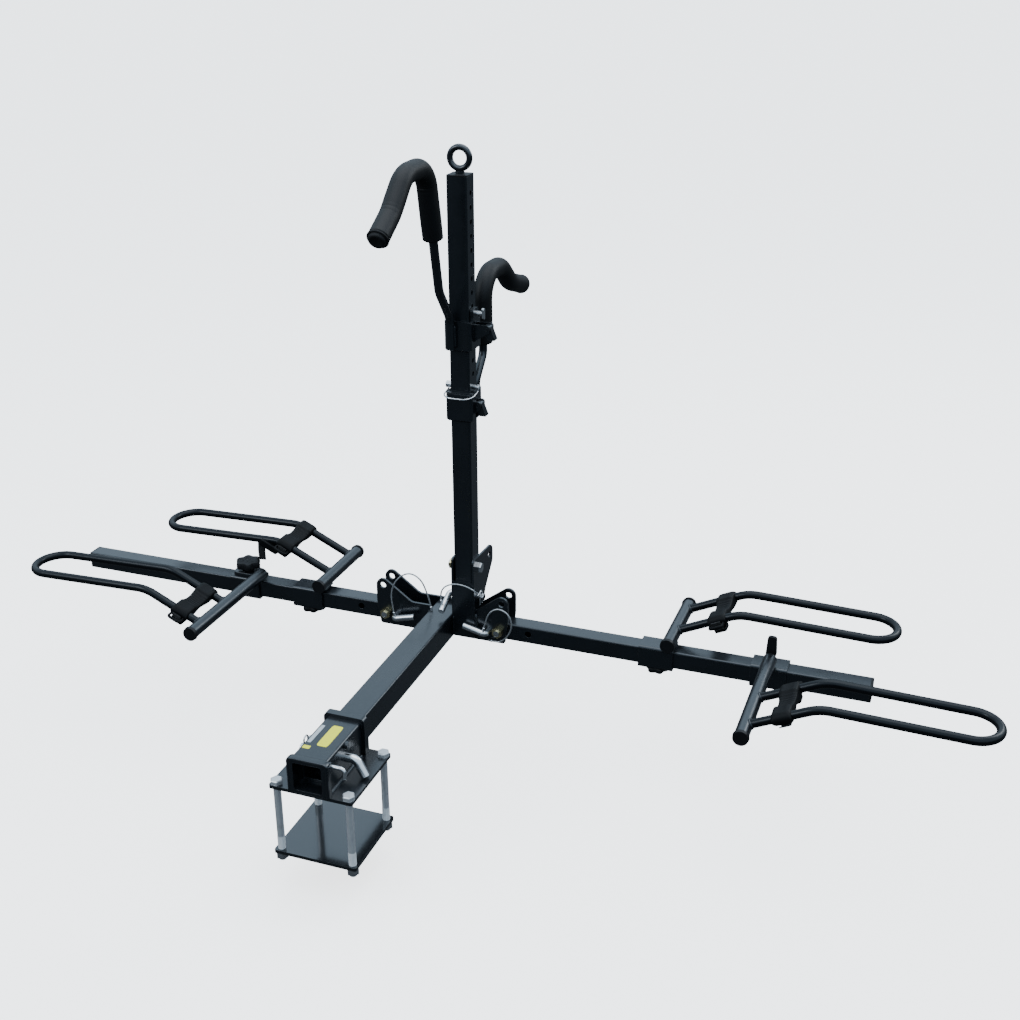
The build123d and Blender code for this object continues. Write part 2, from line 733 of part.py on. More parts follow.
# Spring plunger in the upper sleeve's tab, with a ball-like pull on its end
plunger_nose = mast_x + mast_side / 2 + seat_gap
with BuildPart() as plunger:
    with BuildSketch(side_plane(plunger_nose, y=mast_y, z=plunger_z)):
        Circle(plunger_diameter / 2)
    extrude(amount=16)
    with BuildSketch(side_plane(plunger_nose + 16, y=mast_y, z=plunger_z)):
        Circle(plunger_diameter / 2 - 1.5)
    extrude(amount=6)
    with BuildSketch(side_plane(plunger_nose + 19, y=mast_y, z=plunger_z)):
        RectangleRounded(7, 20, 3)
    extrude(amount=4)
save(plunger.part, "plunger")

# Hooks: a bent rod on the front of the upper sleeve and on the back of the lower one, foam round each.
# Their points are distances out from the mast and up from the sleeve's foot.
stand_off = sleeve_half + hook_rod / 2 + weld_gap
hooks = [
    (
        "upper",
        mast_x - hook_offset,
        -1,
        upper_sleeve_z,
        [
            (stand_off, 6), (stand_off, 64), (79.2, 121),
            (126.2, 342), (210.2, 342), (264.2, 290), (311.2, 262),
        ],
        [30.0, 40.0, 47.0, 56.0, 100.0],
        217.0,
    ),
    (
        "lower",
        mast_x + hook_offset,
        1,
        lower_sleeve_z,
        [
            (stand_off, 6), (stand_off, 61), (73.8, 103),
            (74.8, 249), (164.8, 249), (215.8, 205), (280.8, 185),
        ],
        [30.0, 26.0, 46.0, 56.0, 80.0],
        123.0,
    ),
]
for hook_name, hook_x, way, sleeve_z, places, radii, foam_rise in hooks:
    route = [(hook_x, mast_y + way * out, sleeve_z + rise) for out, rise in places]
    with BuildPart() as hook:
        rod(route, radii, hook_rod)
    save(hook.part, f"{hook_name}_hook_rod")
    share = (foam_rise - places[2][1]) / (places[3][1] - places[2][1])
    foam_start = Vector(*route[2]) + (Vector(*route[3]) - Vector(*route[2])) * share
    foam_route = [tuple(foam_start)] + route[3:]
    with BuildPart() as foam:
        rod(foam_route, radii[2:], foam_diameter)
        rod(foam_route, radii[2:], hook_rod + 2 * seat_gap, mode=Mode.SUBTRACT)
    save(foam.part, f"{hook_name}_foam_grip")
    tip = Vector(*route[-1])
    outward = (tip - Vector(*route[-2])).normalized()
    with BuildPart() as plug:
        with BuildSketch(Plane(tip + outward * seat_gap, z_dir=outward)):
            Circle(foam_diameter / 2 + 0.5)
        extrude(amount=7, taper=8)
    save(plug.part, f"{hook_name}_end_plug")

# Wheel holders: name, side, clamp centre, arm centre, whether it reaches back, block distance, knob
holders = [
    ("left_back", -1, 298.0, 268.0, True, 104.0, "under"),
    ("left_front", -1, 444.0, 406.0, False, 42.0, "over"),
    ("right_back", 1, 432.0, 455.0, True, 80.0, "under"),
    ("right_front", 1, 643.0, 643.0, False, 60.0, "wing"),
]
rise_slope = atan2(hoop_rise, hoop_rise_run)


def lobed_disc(diameter):
    """Sketch of a hand knob's rim: a disc with rounded lobes."""
    Circle(diameter / 2 - 3.5)
    with PolarLocations(diameter / 2 - 6, knob_lobes):
        Circle(6)


for holder, side, clamp_out, arm_out, reaches_back, block_run, knob_kind in holders:
    clamp_x = side * clamp_out
    arm_x = side * arm_out
    arm_near, arm_far = back_arm if reaches_back else front_arm
    hoop_y = back_hoop_y if reaches_back else front_hoop_y
    hoop_near = hoop_y - hoop_half_width
    hoop_far = hoop_y + hoop_half_width
    clamp_left = clamp_x - clamp_length / 2

    # Clamp round the wing, with the arm tube welded across its top
    with BuildPart() as bracket:
        with BuildSketch(side_plane(clamp_left, y=beam_y, z=shank_z)):
            RectangleRounded(clamp_outer, clamp_outer, 5.0)
        extrude(amount=clamp_length)
        with BuildSketch(cross_plane(arm_far, arm_x, arm_z)):
            Circle(arm_diameter / 2)
        extrude(amount=arm_far - arm_near)
        arm_hole = arm_diameter - 2 * arm_wall
        bore_end = arm_far if reaches_back else arm_far - arm_wall
        drill(cross_plane(bore_end, arm_x, arm_z), [(0, 0, arm_hole)], bore_end - arm_near)
        with BuildSketch(side_plane(clamp_left, y=beam_y, z=shank_z)):
            RectangleRounded(clamp_bore, clamp_bore, beam_corner)
        extrude(amount=clamp_length, mode=Mode.SUBTRACT)
        stud_bore = stud_diameter + 2 * pin_fit
        if knob_kind == "under":
            drill(Plane.XY.offset(clamp_bottom - 1), [(clamp_x, beam_y, stud_bore)], clamp_wall + 2)
        else:
            drill(Plane.XY.offset(clamp_top - clamp_wall - 1), [(clamp_x, beam_y, stud_bore)], 60)
    save(bracket.part, f"{holder}_bracket")

    # Plugs that close the arm's open ends
    open_ends = [(arm_near, -1), (arm_far, 1)] if reaches_back else [(arm_near, -1)]
    with BuildPart() as plugs:
        for y, outward in open_ends:
            with BuildSketch(Plane((arm_x, y, arm_z), z_dir=(0, outward, 0))):
                Circle(arm_plug / 2)
            extrude(amount=arm_plug_rim, taper=8)
            with BuildSketch(Plane((arm_x, y, arm_z), z_dir=(0, -outward, 0))):
                Circle(arm_hole / 2 - seat_gap)
            extrude(amount=plug_depth)
    save(plugs.part, f"{holder}_plugs")

    # Wheel hoop: one rod bent into a long U, its two ends cut to the round of the arm
    places = [
        (0, 0),
        (hoop_rise_run, hoop_rise),
        (hoop_length, hoop_rise - hoop_fall),
    ]
    near_side = [(arm_x + side * run, hoop_near, arm_z + lift) for run, lift in places]
    far_side = [(arm_x + side * run, hoop_far, arm_z + lift) for run, lift in reversed(places)]
    hoop_radii = [hoop_bend, hoop_half_width - 0.1, hoop_half_width - 0.1, hoop_bend]
    with BuildPart() as hoop:
        rod(near_side + far_side, hoop_radii, hoop_rod)
        seat = [(0, 0, arm_diameter + 0.1)]
        drill(cross_plane(hoop_far + 20, arm_x, arm_z), seat, hoop_far - hoop_near + 40)
    save(hoop.part, f"{holder}_hoop")

    # Cross block: a saddle for the tyre, moulded round both rods, with a tab for the strap
    block_plane = Plane(
        (arm_x + side * block_run, hoop_y, arm_z + block_run * tan(rise_slope)),
        x_dir=(0, side, 0),
        z_dir=(cos(rise_slope) * side, 0, sin(rise_slope)),
    )
    tab_end = -side if holder != "right_front" else side
    tab_x = tab_end * (block_length / 2 + strap_reach / 2 - 4)
    with BuildPart() as block:
        with BuildSketch(block_plane.offset(-block_width / 2)):
            RectangleRounded(block_length, block_height, 9)
            with Locations((0, block_height / 2 + cradle_radius - cradle_depth)):
                Circle(cradle_radius, mode=Mode.SUBTRACT)
        extrude(amount=block_width)
        with BuildSketch(block_plane.offset(-strap_width / 2)):
            with Locations((tab_x, -2)):
                RectangleRounded(strap_reach + 8, strap_tab, 3)
        extrude(amount=strap_width)
        with BuildSketch(Plane(block_plane.origin, block_plane.x_dir, block_plane.y_dir)):
            with Locations((tab_x + tab_end * 3, 0)):
                RectangleRounded(*strap_slot, 3)
        extrude(amount=block_height, both=True, mode=Mode.SUBTRACT)
        rod(near_side + far_side, hoop_radii, hoop_rod + 2 * pin_fit, mode=Mode.SUBTRACT)
    save(block.part, f"{holder}_block")

    # Hand knob with its stud
    with BuildPart() as knob:
        if knob_kind == "under":
            with BuildSketch(Plane.XY.offset(clamp_bottom - seat_gap - knob_height)):
                with Locations((clamp_x, beam_y)):
                    lobed_disc(knob_diameter)
            extrude(amount=knob_height)
            with BuildSketch(Plane.XY.offset(clamp_bottom - seat_gap)):
                with Locations((clamp_x, beam_y)):
                    Circle(stud_diameter / 2)
            extrude(amount=seat_gap + clamp_wall)
        elif knob_kind == "over":
            with BuildSketch(Plane.XY.offset(clamp_top + seat_gap)):
                with Locations((clamp_x, beam_y)):
                    Circle(stem_diameter / 2)
            extrude(amount=15)
            with BuildSketch(Plane.XY.offset(clamp_top + seat_gap + 13)):
                with Locations((clamp_x, beam_y)):
                    lobed_disc(top_knob_diameter)
            extrude(amount=19)
            with BuildSketch(Plane.XY.offset(clamp_top - clamp_wall)):
                with Locations((clamp_x, beam_y)):
                    Circle(stud_diameter / 2)
            extrude(amount=clamp_wall + 1)
        else:
            with BuildSketch(Plane.XY.offset(clamp_top + seat_gap)):
                with Locations((clamp_x, beam_y)):
                    Circle(stem_diameter / 2)
            extrude(amount=17, taper=4)
            with BuildSketch(cross_plane(beam_y + wing_thickness / 2)):
                wing_points = [
                    (clamp_x, clamp_top + 8),
                    (clamp_x + 10, clamp_top + 17),
                    (clamp_x + 8, clamp_top + wing_height),
                    (clamp_x - 8, clamp_top + wing_height),
                    (clamp_x - 10, clamp_top + 17),
                ]
                outline(wing_points, [5.0, 5.0, 5.0])
            extrude(amount=wing_thickness)
            with BuildSketch(Plane.XY.offset(clamp_top - clamp_wall)):
                with Locations((clamp_x, beam_y)):
                    Circle(stud_diameter / 2)
            extrude(amount=clamp_wall + 1)
    save(knob.part, f"{holder}_knob")


# Safety wires, from each lock pin to the frame; the points are the wire's route
def cord_radii(points):
    """Largest arc radius that each corner's two runs allow."""
    radii = []
    for before, corner, after in zip(points, points[1:], points[2:]):
        run_in = Vector(*corner) - Vector(*before)
        run_out = Vector(*after) - Vector(*corner)
        half_turn = radians(run_in.get_angle(run_out)) / 2
        radii.append(0.45 * min(run_in.length, run_out.length) / tan(half_turn))
    return radii


lanyards = {
    "left_lanyard": [
        (-94, 467, 43.6), (-99, 467, 70), (-101, 470, 99), (-87, 473, 127),
        (-62, 475, 142), (-38, 476, 130), (-27, 477, 102), (-21, 478, 80), (-18, 478, 63.8),
    ],
    "right_lanyard": [
        (94, 467, 43.6), (99, 466, 66), (107, 467, 88), (125, 468, 99), (145, 469, 90),
        (153, 470, 68), (147, 471, 45), (130, 473, 24), (112, 476, 20), (100, 482.6, 18),
    ],
    "mast_lanyard": [
        (10, 463, 90.6), (6, 465, 108), (12, 467, 126), (32, 469, 136), (55, 470, 135),
        (73, 472, 127), (79, 478, 117), (80, 485.5, 108),
    ],
}
for name, points in lanyards.items():
    radii = cord_radii(points)
    with BuildPart() as lanyard:
        line = rod(points, radii, wire_diameter)
    area = pi * wire_diameter ** 2 / 4
    print(name, "length", round(line.length, 1), "radii", [round(r, 1) for r in radii],
          "volume", round(lanyard.part.volume, 1), "of", round(area * line.length, 1))
    save(lanyard.part, name)
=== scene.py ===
import json
from math import atan2, cos, pi, radians, sin, tan

import bpy
import numpy as np
from mathutils import Matrix, Vector


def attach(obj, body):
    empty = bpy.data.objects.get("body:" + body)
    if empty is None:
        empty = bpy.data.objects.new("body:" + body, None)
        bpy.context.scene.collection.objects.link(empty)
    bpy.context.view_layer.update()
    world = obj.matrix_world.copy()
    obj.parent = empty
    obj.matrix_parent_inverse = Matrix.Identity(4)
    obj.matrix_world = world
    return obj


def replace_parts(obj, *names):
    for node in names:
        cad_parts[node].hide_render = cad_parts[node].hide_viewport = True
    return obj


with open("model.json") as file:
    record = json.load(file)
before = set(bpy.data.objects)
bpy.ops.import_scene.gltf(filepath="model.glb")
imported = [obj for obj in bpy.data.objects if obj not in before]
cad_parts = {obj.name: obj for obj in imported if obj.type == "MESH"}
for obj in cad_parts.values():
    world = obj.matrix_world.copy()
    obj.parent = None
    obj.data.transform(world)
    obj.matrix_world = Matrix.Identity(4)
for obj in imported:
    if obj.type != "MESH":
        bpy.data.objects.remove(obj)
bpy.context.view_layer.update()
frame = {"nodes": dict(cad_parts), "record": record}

# Platform bike rack: powder-coated tubes, bright bolts, foam-covered hooks and coated safety wires.
# Metres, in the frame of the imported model. Sizes taken over from the model are written in millimetres.

MM = 0.001

# Places and sizes on the rack, millimetres
SHANK_HALF = 25.4
RECEIVER_TOP = 69.85
RECEIVER_HALF = 31.75
PLATE_TOP = 6.35
# Bumper bolts and their threads
BOLT_RADIUS = 6.35
BOLT_PLACE = 66.0
BOLT_END = -145.85
THREAD_TOP = -99.0
THREAD_PITCH = 1.95
THREAD_RISE = 0.42
THREAD_FADE = 2.0
# Hub, wings, mast and wheel holders
HUB_FRONT = 484.2
BEAM_Y = 507.7
MAST_Y = 500.2
SLEEVE_HALF = 26.0
HOOK_ROD_RADIUS = 7.95
BRACKET_RIGHT = 72.3
BRACKET_FRONT = 476.75
CLAMP_TOP = 60.6
CLAMP_BOTTOM = 15.6
ARM_Z = 71.8
ARM_RADIUS = 12.7
HOOP_ROD_RADIUS = 7.95
HOOP_HALF_WIDTH = 45.0
HOOP_RISE_RUN = 118.0
HOOP_RISE = 56.0
HOOP_SLOPE = atan2(HOOP_RISE, HOOP_RISE_RUN)
# Cross blocks: body, cradle, waist, ribs and the channel along the top
BLOCK_HALF = 58.5
BLOCK_HEIGHT = 25.0
BLOCK_WIDTH = 36.0
BLOCK_LOBE = 13.5
CRADLE_RADIUS = 46.0
CRADLE_DEPTH = 8.0
CRADLE_HALF = 40.0
WAIST_HALF = 31.0
WAIST_RISE = 4.0
WAIST_NARROWING = 2.2
RIBS_HALF = 24.0
RIB_SPACING = 6.0
RIB_DEPTH = 0.9
CHANNEL_HALF = 9.5
CHANNEL_DEPTH = 0.9
# Strap rings and straps
RING_PLACE = 64.0
RING_HALF_LENGTH = 9.0
RING_HALF_WIDTH = 13.0
RING_THICKNESS = 2.3
RING_HEIGHT = 3.2
RING_DROP = 3.0
STRAP_WIDTH = 19.0
STRAP_THICKNESS = 2.2
STRAP_STEP = 1.5
# Foam grips; a bend of 1 / 50 mm or tighter has the full folds
FOAM_RADIUS = 18.0
FOAM_STEP = 1.6
FOAM_ROUNDING = 2.0
FOAM_FOLD_SPACING = 9.0
FOAM_FOLD_DEPTH = 0.9
FOAM_TIGHT_BEND = 0.02
# Safety wires and their crimps
WIRE_RADIUS = 1.5
CRIMP_START = 1.2
CRIMP_LENGTH = 8.0
CRIMP_RADIUS = 2.6
CRIMP_PINCH = 0.12
# Weld beads
WELD_STEP = 0.8
WELD_RIPPLE = 3.4
WELD_SINK = 0.5
ARM_WELD_REACH = 21.0
ARM_WELD_SHORT = -11.5
ARM_WELD_ASIDE = 6.0
ROD_WELD_ASIDE = 3.6
ROD_WELD_LENGTH = 44.0
ROD_WELD_RADIUS = 1.9
# Knobs and stickers
KNOB_GAP = 0.3
FILM_THICKNESS = 0.2

# Wheel holders: clamp centre, arm centre, hoop centre along the shank, kind of knob
HOLDERS = {
    "left_back": (-298.0, -268.0, 589.0, "under"),
    "left_front": (-444.0, -406.0, 309.0, "over"),
    "right_back": (432.0, 455.0, 589.0, "under"),
    "right_front": (643.0, 643.0, 309.0, "wing"),
}
# Cross blocks: distance from the arm, and the end with the strap ring, -1 near and 1 far
BLOCKS = {
    "left_back": (104.0, -1),
    "left_front": (42.0, -1),
    "right_back": (80.0, -1),
    "right_front": (60.0, 1),
}


def unit(v):
    """Vectors along the last axis, scaled to length 1."""
    v = np.asarray(v, float)
    return v / np.linalg.norm(v, axis=-1, keepdims=True)


def rounder(wave, power):
    """Sine or cosine drawn towards its ends, for sections between an oval and a box."""
    return np.sign(wave) * np.abs(wave) ** power


def skin(name, grid, material, body, ring=False):
    """Mesh of a grid of points in millimetres, rows along the piece and columns round it.

    Each row is a closed ring. With ring=True the last row joins the first, as on a torus.
    Otherwise both end rows are closed with a fan to their middle.
    """
    grid = np.asarray(grid, float) * MM
    rows, columns = grid.shape[:2]
    index = np.arange(rows * columns).reshape(rows, columns)
    after = np.roll(index, -1, axis=1)
    points = grid.reshape(-1, 3)
    if ring:
        quads = np.stack([index, after, np.roll(after, -1, axis=0), np.roll(index, -1, axis=0)], -1)
        faces = quads.reshape(-1, 4).tolist()
    else:
        quads = np.stack([index[:-1], after[:-1], after[1:], index[1:]], -1)
        faces = quads.reshape(-1, 4).tolist()
        low, high = len(points), len(points) + 1
        points = np.vstack([points, grid[0].mean(0), grid[-1].mean(0)])
        faces += np.stack([after[0], index[0], np.full(columns, low)], -1).tolist()
        faces += np.stack([index[-1], after[-1], np.full(columns, high)], -1).tolist()
    mesh = bpy.data.meshes.new(name)
    mesh.from_pydata(points.tolist(), [], faces)
    mesh.polygons.foreach_set("use_smooth", np.full(len(mesh.polygons), True))
    mesh.update()
    return place(name, mesh, material, body)


def place(name, data, material, body):
    """Object at the origin for finished mesh or curve data, on its body and with its finish."""
    piece = bpy.data.objects.new(name, data)
    bpy.context.scene.collection.objects.link(piece)
    data.materials.append(material)
    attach(piece, body)
    return piece


def outward(piece):
    """Turns every face of a closed piece to look outwards."""
    bpy.context.view_layer.objects.active = piece
    piece.select_set(True)
    bpy.ops.object.mode_set(mode="EDIT")
    bpy.ops.mesh.select_all(action="SELECT")
    bpy.ops.mesh.normals_make_consistent(inside=False)
    bpy.ops.object.mode_set(mode="OBJECT")
    piece.select_set(False)
    return piece


def crease(piece, degrees):
    """Edges sharper than the angle stay crisp in smooth shading."""
    piece.data.set_sharp_from_angle(angle=radians(degrees))
    return piece


def rounded_route(points, radii, step=3.0):
    """Points along straight runs joined by tangent arcs, about one step apart, in millimetres."""
    corners = [np.array(p, float) for p in points]
    stretches = []
    start = corners[0]
    for before, corner, after, radius in zip(corners, corners[1:], corners[2:], radii):
        into = unit(corner - before)
        out = unit(after - corner)
        turn = np.arccos(np.clip(into @ out, -1, 1))
        trim = radius * tan(turn / 2)
        first = corner - into * trim
        centre = first + unit(out - into * (into @ out)) * radius
        stretches.append(("run", start, first))
        stretches.append(("arc", first - centre, into * radius, centre, turn))
        start = corner + out * trim
    stretches.append(("run", start, corners[-1]))
    made = []
    for kind, *facts in stretches:
        if kind == "run":
            a, b = facts
            count = max(2, int(np.linalg.norm(b - a) / step))
            share = np.linspace(0, 1, count, endpoint=False)[:, None]
            made.append(a + (b - a) * share)
        else:
            spoke, tangent, centre, turn = facts
            count = max(4, int(np.linalg.norm(spoke) * turn / step))
            angle = np.linspace(0, turn, count, endpoint=False)[:, None]
            made.append(centre + spoke * np.cos(angle) + tangent * np.sin(angle))
    made.append(corners[-1][None])
    return np.vstack(made)


def along(route):
    """Distance along a route at each of its points."""
    steps = np.linalg.norm(np.diff(route, axis=0), axis=1)
    return np.concatenate([[0], np.cumsum(steps)])


def frames(route, reference):
    """Tangent, side and rise at each point of a route; the side stays nearest the reference."""
    tangent = unit(np.gradient(route, axis=0))
    reference = np.asarray(reference, float)
    side = unit(reference - (tangent @ reference)[:, None] * tangent)
    return tangent, side, np.cross(tangent, side)


def tube(route, radius, reference, count):
    """Rings along a route: p(s, t) = c(s) + r(s, t) (cos t side + sin t rise)."""
    tangent, side, rise = frames(route, reference)
    angle = np.linspace(0, 2 * pi, count, endpoint=False)
    radius = np.broadcast_to(np.asarray(radius, float), (len(route), count))[..., None]
    spoke = np.cos(angle)[:, None] * side[:, None] + np.sin(angle)[:, None] * rise[:, None]
    return route[:, None] + radius * spoke


def turned(profile, axis, centre, reference, count, lobes=0, depth=0.0):
    """Turned form: profile points (radius, height) carried round an axis.

    With lobes, the radius is r (1 - depth (1 - cos(lobes t)) / 2), which gives hand-grip scallops.
    """
    axis = unit(axis)
    side = unit(np.asarray(reference, float) - axis * np.dot(axis, reference))
    rise = np.cross(axis, side)
    angle = np.linspace(0, 2 * pi, count, endpoint=False)
    scallop = 1 - depth * (1 - np.cos(lobes * angle)) / 2
    profile = np.asarray(profile, float)
    spoke = np.cos(angle)[:, None] * side + np.sin(angle)[:, None] * rise
    rings = profile[:, 0, None, None] * (scallop[:, None] * spoke)[None]
    return np.asarray(centre, float) + rings + profile[:, 1, None, None] * axis


# Colours of wear and dust
RUBBED_COAT = (0.16, 0.165, 0.17)
DUST_ON_COAT = (0.22, 0.23, 0.24)
DUST_ON_PLASTIC = (0.15, 0.16, 0.17)
DUST_ON_FOAM = (0.14, 0.15, 0.16)
GREYED_PLASTIC = (0.05, 0.052, 0.056)
SCUFFED_FILM = (0.1, 0.09, 0.06)


# Materials
def add(tree, kind, inputs=None, **settings):
    """New shader node; an input is a value or the socket that feeds it."""
    made = tree.nodes.new("ShaderNode" + kind)
    for key, value in settings.items():
        setattr(made, key, value)
    for key, value in (inputs or {}).items():
        if isinstance(value, bpy.types.NodeSocket):
            tree.links.new(value, made.inputs[key])
        else:
            made.inputs[key].default_value = value
    return made


def effect(name, inputs, outputs):
    """Empty shader node group with named float inputs and outputs."""
    group = bpy.data.node_groups.new(name, "ShaderNodeTree")
    for label, value in inputs:
        socket = group.interface.new_socket(label, in_out="INPUT", socket_type="NodeSocketFloat")
        socket.default_value = value
    for label in outputs:
        group.interface.new_socket(label, in_out="OUTPUT", socket_type="NodeSocketFloat")
    return group, group.nodes.new("NodeGroupInput"), group.nodes.new("NodeGroupOutput")


def math(tree, operation, a, b, clamp=False):
    """Result of one Math node."""
    return add(tree, "Math", {0: a, 1: b}, operation=operation, use_clamp=clamp).outputs[0]


def object_noise(tree, scale, detail, rough):
    """Noise on Object coordinates, from 0 to 1."""
    place_in = add(tree, "TexCoord").outputs["Object"]
    inputs = {"Vector": place_in, "Scale": scale, "Detail": detail, "Roughness": rough}
    return add(tree, "TexNoise", inputs).outputs["Fac"]


def window(tree, value, low, high):
    """Mask that rises from 0 to 1 as the value goes from low to high."""
    return add(tree, "MapRange", {"Value": value, "From Min": low, "From Max": high}).outputs[0]


def make_edge_wear():
    """Mask of rubbed edges: where a rounded normal leaves the true one, broken up by noise."""
    group, inside, outside = effect("edge_wear", [("Width", 0.0012), ("Amount", 0.6)], ["Mask"])
    rounded = add(group, "Bevel", {"Radius": inside.outputs["Width"]}, samples=6).outputs[0]
    true = add(group, "NewGeometry").outputs["Normal"]
    same = add(group, "VectorMath", {0: rounded, 1: true}, operation="DOT_PRODUCT").outputs["Value"]
    edge = math(group, "MULTIPLY", math(group, "SUBTRACT", 1.0, same), 5.0, clamp=True)
    patches = object_noise(group, 38.0, 6.0, 0.65)
    mask = math(group, "MULTIPLY", edge, window(group, patches, 0.42, 0.68))
    group.links.new(math(group, "MULTIPLY", mask, inside.outputs["Amount"]), outside.inputs["Mask"])
    return group


def make_coat_grain():
    """Powder coat: fine orange peel for the bump, slow clouds for tint and gloss."""
    group, inside, outside = effect("coat_grain", [("Grain", 900.0)], ["Height", "Cloud", "Gloss"])
    peel = object_noise(group, inside.outputs["Grain"], 2.0, 0.5)
    broad = object_noise(group, 260.0, 2.0, 0.5)
    height = math(group, "ADD", math(group, "MULTIPLY", peel, 0.45), math(group, "MULTIPLY", broad, 0.55))
    group.links.new(height, outside.inputs["Height"])
    group.links.new(object_noise(group, 7.0, 5.0, 0.6), outside.inputs["Cloud"])
    smear = object_noise(group, 24.0, 6.0, 0.7)
    group.links.new(window(group, smear, 0.3, 0.7), outside.inputs["Gloss"])
    return group


def make_dust():
    """Mask of dust that lies on faces that look up, thicker in patches."""
    group, inside, outside = effect("dust", [("Amount", 0.3)], ["Mask"])
    normal = add(group, "NewGeometry").outputs["Normal"]
    up = add(group, "SeparateXYZ", {0: normal}).outputs["Z"]
    lying = window(group, up, 0.35, 1.0)
    speckle = object_noise(group, 160.0, 8.0, 0.75)
    patch = object_noise(group, 9.0, 3.0, 0.5)
    field = math(group, "MULTIPLY", window(group, speckle, 0.45, 0.75), patch)
    mask = math(group, "MULTIPLY", math(group, "MULTIPLY", lying, field), inside.outputs["Amount"])
    group.links.new(mask, outside.inputs["Mask"])
    return group


EDGE_WEAR = make_edge_wear()
COAT_GRAIN = make_coat_grain()
DUST = make_dust()


def placed(tree, group, **values):
    """Node of one of the shared effects, with its own values."""
    made = tree.nodes.new("ShaderNodeGroup")
    made.node_tree = group
    for key, value in values.items():
        made.inputs[key].default_value = value
    return made.outputs


def blank(name, **sockets):
    """Material with only a Principled shader, its constant values on its own sockets."""
    material = bpy.data.materials.new(name)
    material.use_nodes = True
    tree = material.node_tree
    shader = tree.nodes["Principled BSDF"]
    for key, value in sockets.items():
        label = key.replace("_", " ").title().replace("Ior", "IOR")
        shader.inputs[label].default_value = value
    return material, tree, shader


def between(tree, mask, low, high):
    """Colour that goes from low to high with the mask."""
    mixed = add(tree, "Mix", {"Factor": mask}, data_type="RGBA")
    colours = [s for s in mixed.inputs if s.type == "RGBA"]
    for socket, value in zip(colours, (low, high)):
        if isinstance(value, bpy.types.NodeSocket):
            tree.links.new(value, socket)
        else:
            socket.default_value = (*value, 1.0)
    return [s for s in mixed.outputs if s.type == "RGBA"][0]


def spread(tree, mask, low, high):
    """Number that goes from low to high with the mask."""
    return add(tree, "MapRange", {"Value": mask, "To Min": low, "To Max": high}).outputs[0]


def bump(tree, shader, height, strength, distance=0.0002, edge=0.0):
    """Feeds the shader's normal from a height, over edges rounded to a small radius."""
    inputs = {"Height": height, "Strength": strength, "Distance": distance}
    if edge:
        inputs["Normal"] = add(tree, "Bevel", {"Radius": edge}, samples=4).outputs[0]
    made = add(tree, "Bump", inputs)
    tree.links.new(made.outputs[0], shader.inputs["Normal"])


def powder_coat(name, dark, light, gloss, worn, dust, grain=900.0, peel=0.16, coat=0.1, shine=0.55):
    """Black powder coat with orange peel, cloudy tint, rubbed edges and a little dust."""
    material, tree, shader = blank(name, specular_tint=(0.8, 0.9, 1.0, 1.0), specular_ior_level=shine,
                                   coat_weight=coat, coat_roughness=0.16)
    surface = placed(tree, COAT_GRAIN, Grain=grain)
    tint = between(tree, surface["Cloud"], dark, light)
    wear = placed(tree, EDGE_WEAR, Width=0.0011, Amount=worn)["Mask"]
    rubbed = between(tree, wear, tint, RUBBED_COAT)
    dusty = placed(tree, DUST, Amount=dust)["Mask"]
    tree.links.new(between(tree, dusty, rubbed, DUST_ON_COAT), shader.inputs["Base Color"])
    rough = spread(tree, surface["Gloss"], gloss[0], gloss[1])
    tree.links.new(math(tree, "ADD", rough, math(tree, "MULTIPLY", dusty, 0.3)), shader.inputs["Roughness"])
    tree.links.new(math(tree, "MULTIPLY", wear, 0.7), shader.inputs["Metallic"])
    bump(tree, shader, surface["Height"], peel, edge=0.0009)
    return material


def plated(name, low, high, gloss, stain=(0.3, 0.27, 0.22), metal=1.0):
    """Zinc plate: metal with fine drawing marks, cloudy shine and a few dull stains."""
    material, tree, shader = blank(name, metallic=metal)
    cloud = object_noise(tree, 90.0, 5.0, 0.6)
    stains = window(tree, object_noise(tree, 31.0, 7.0, 0.7), 0.56, 0.72)
    clean = between(tree, cloud, low, high)
    soiled = math(tree, "MULTIPLY", stains, 0.35)
    tree.links.new(between(tree, soiled, clean, stain), shader.inputs["Base Color"])
    rough = spread(tree, cloud, gloss[0], gloss[1])
    duller = math(tree, "ADD", rough, math(tree, "MULTIPLY", stains, 0.12))
    tree.links.new(duller, shader.inputs["Roughness"])
    bump(tree, shader, object_noise(tree, 1500.0, 3.0, 0.6), 0.12, 0.0001, edge=0.0005)
    return material


def moulded(name, dark, light, gloss, grain=1400.0, depth=0.25, shine=0.25):
    """Moulded plastic: fine spark-eroded grain, slight greying where handled."""
    material, tree, shader = blank(name, specular_tint=(0.92, 0.96, 1.0, 1.0), specular_ior_level=shine)
    cloud = object_noise(tree, 22.0, 5.0, 0.6)
    wear = placed(tree, EDGE_WEAR, Width=0.0014, Amount=0.3)["Mask"]
    tint = between(tree, wear, between(tree, cloud, dark, light), GREYED_PLASTIC)
    dusty = placed(tree, DUST, Amount=0.03)["Mask"]
    tree.links.new(between(tree, dusty, tint, DUST_ON_PLASTIC), shader.inputs["Base Color"])
    tree.links.new(spread(tree, cloud, gloss[0], gloss[1]), shader.inputs["Roughness"])
    bump(tree, shader, object_noise(tree, grain, 3.0, 0.6), depth)
    return material


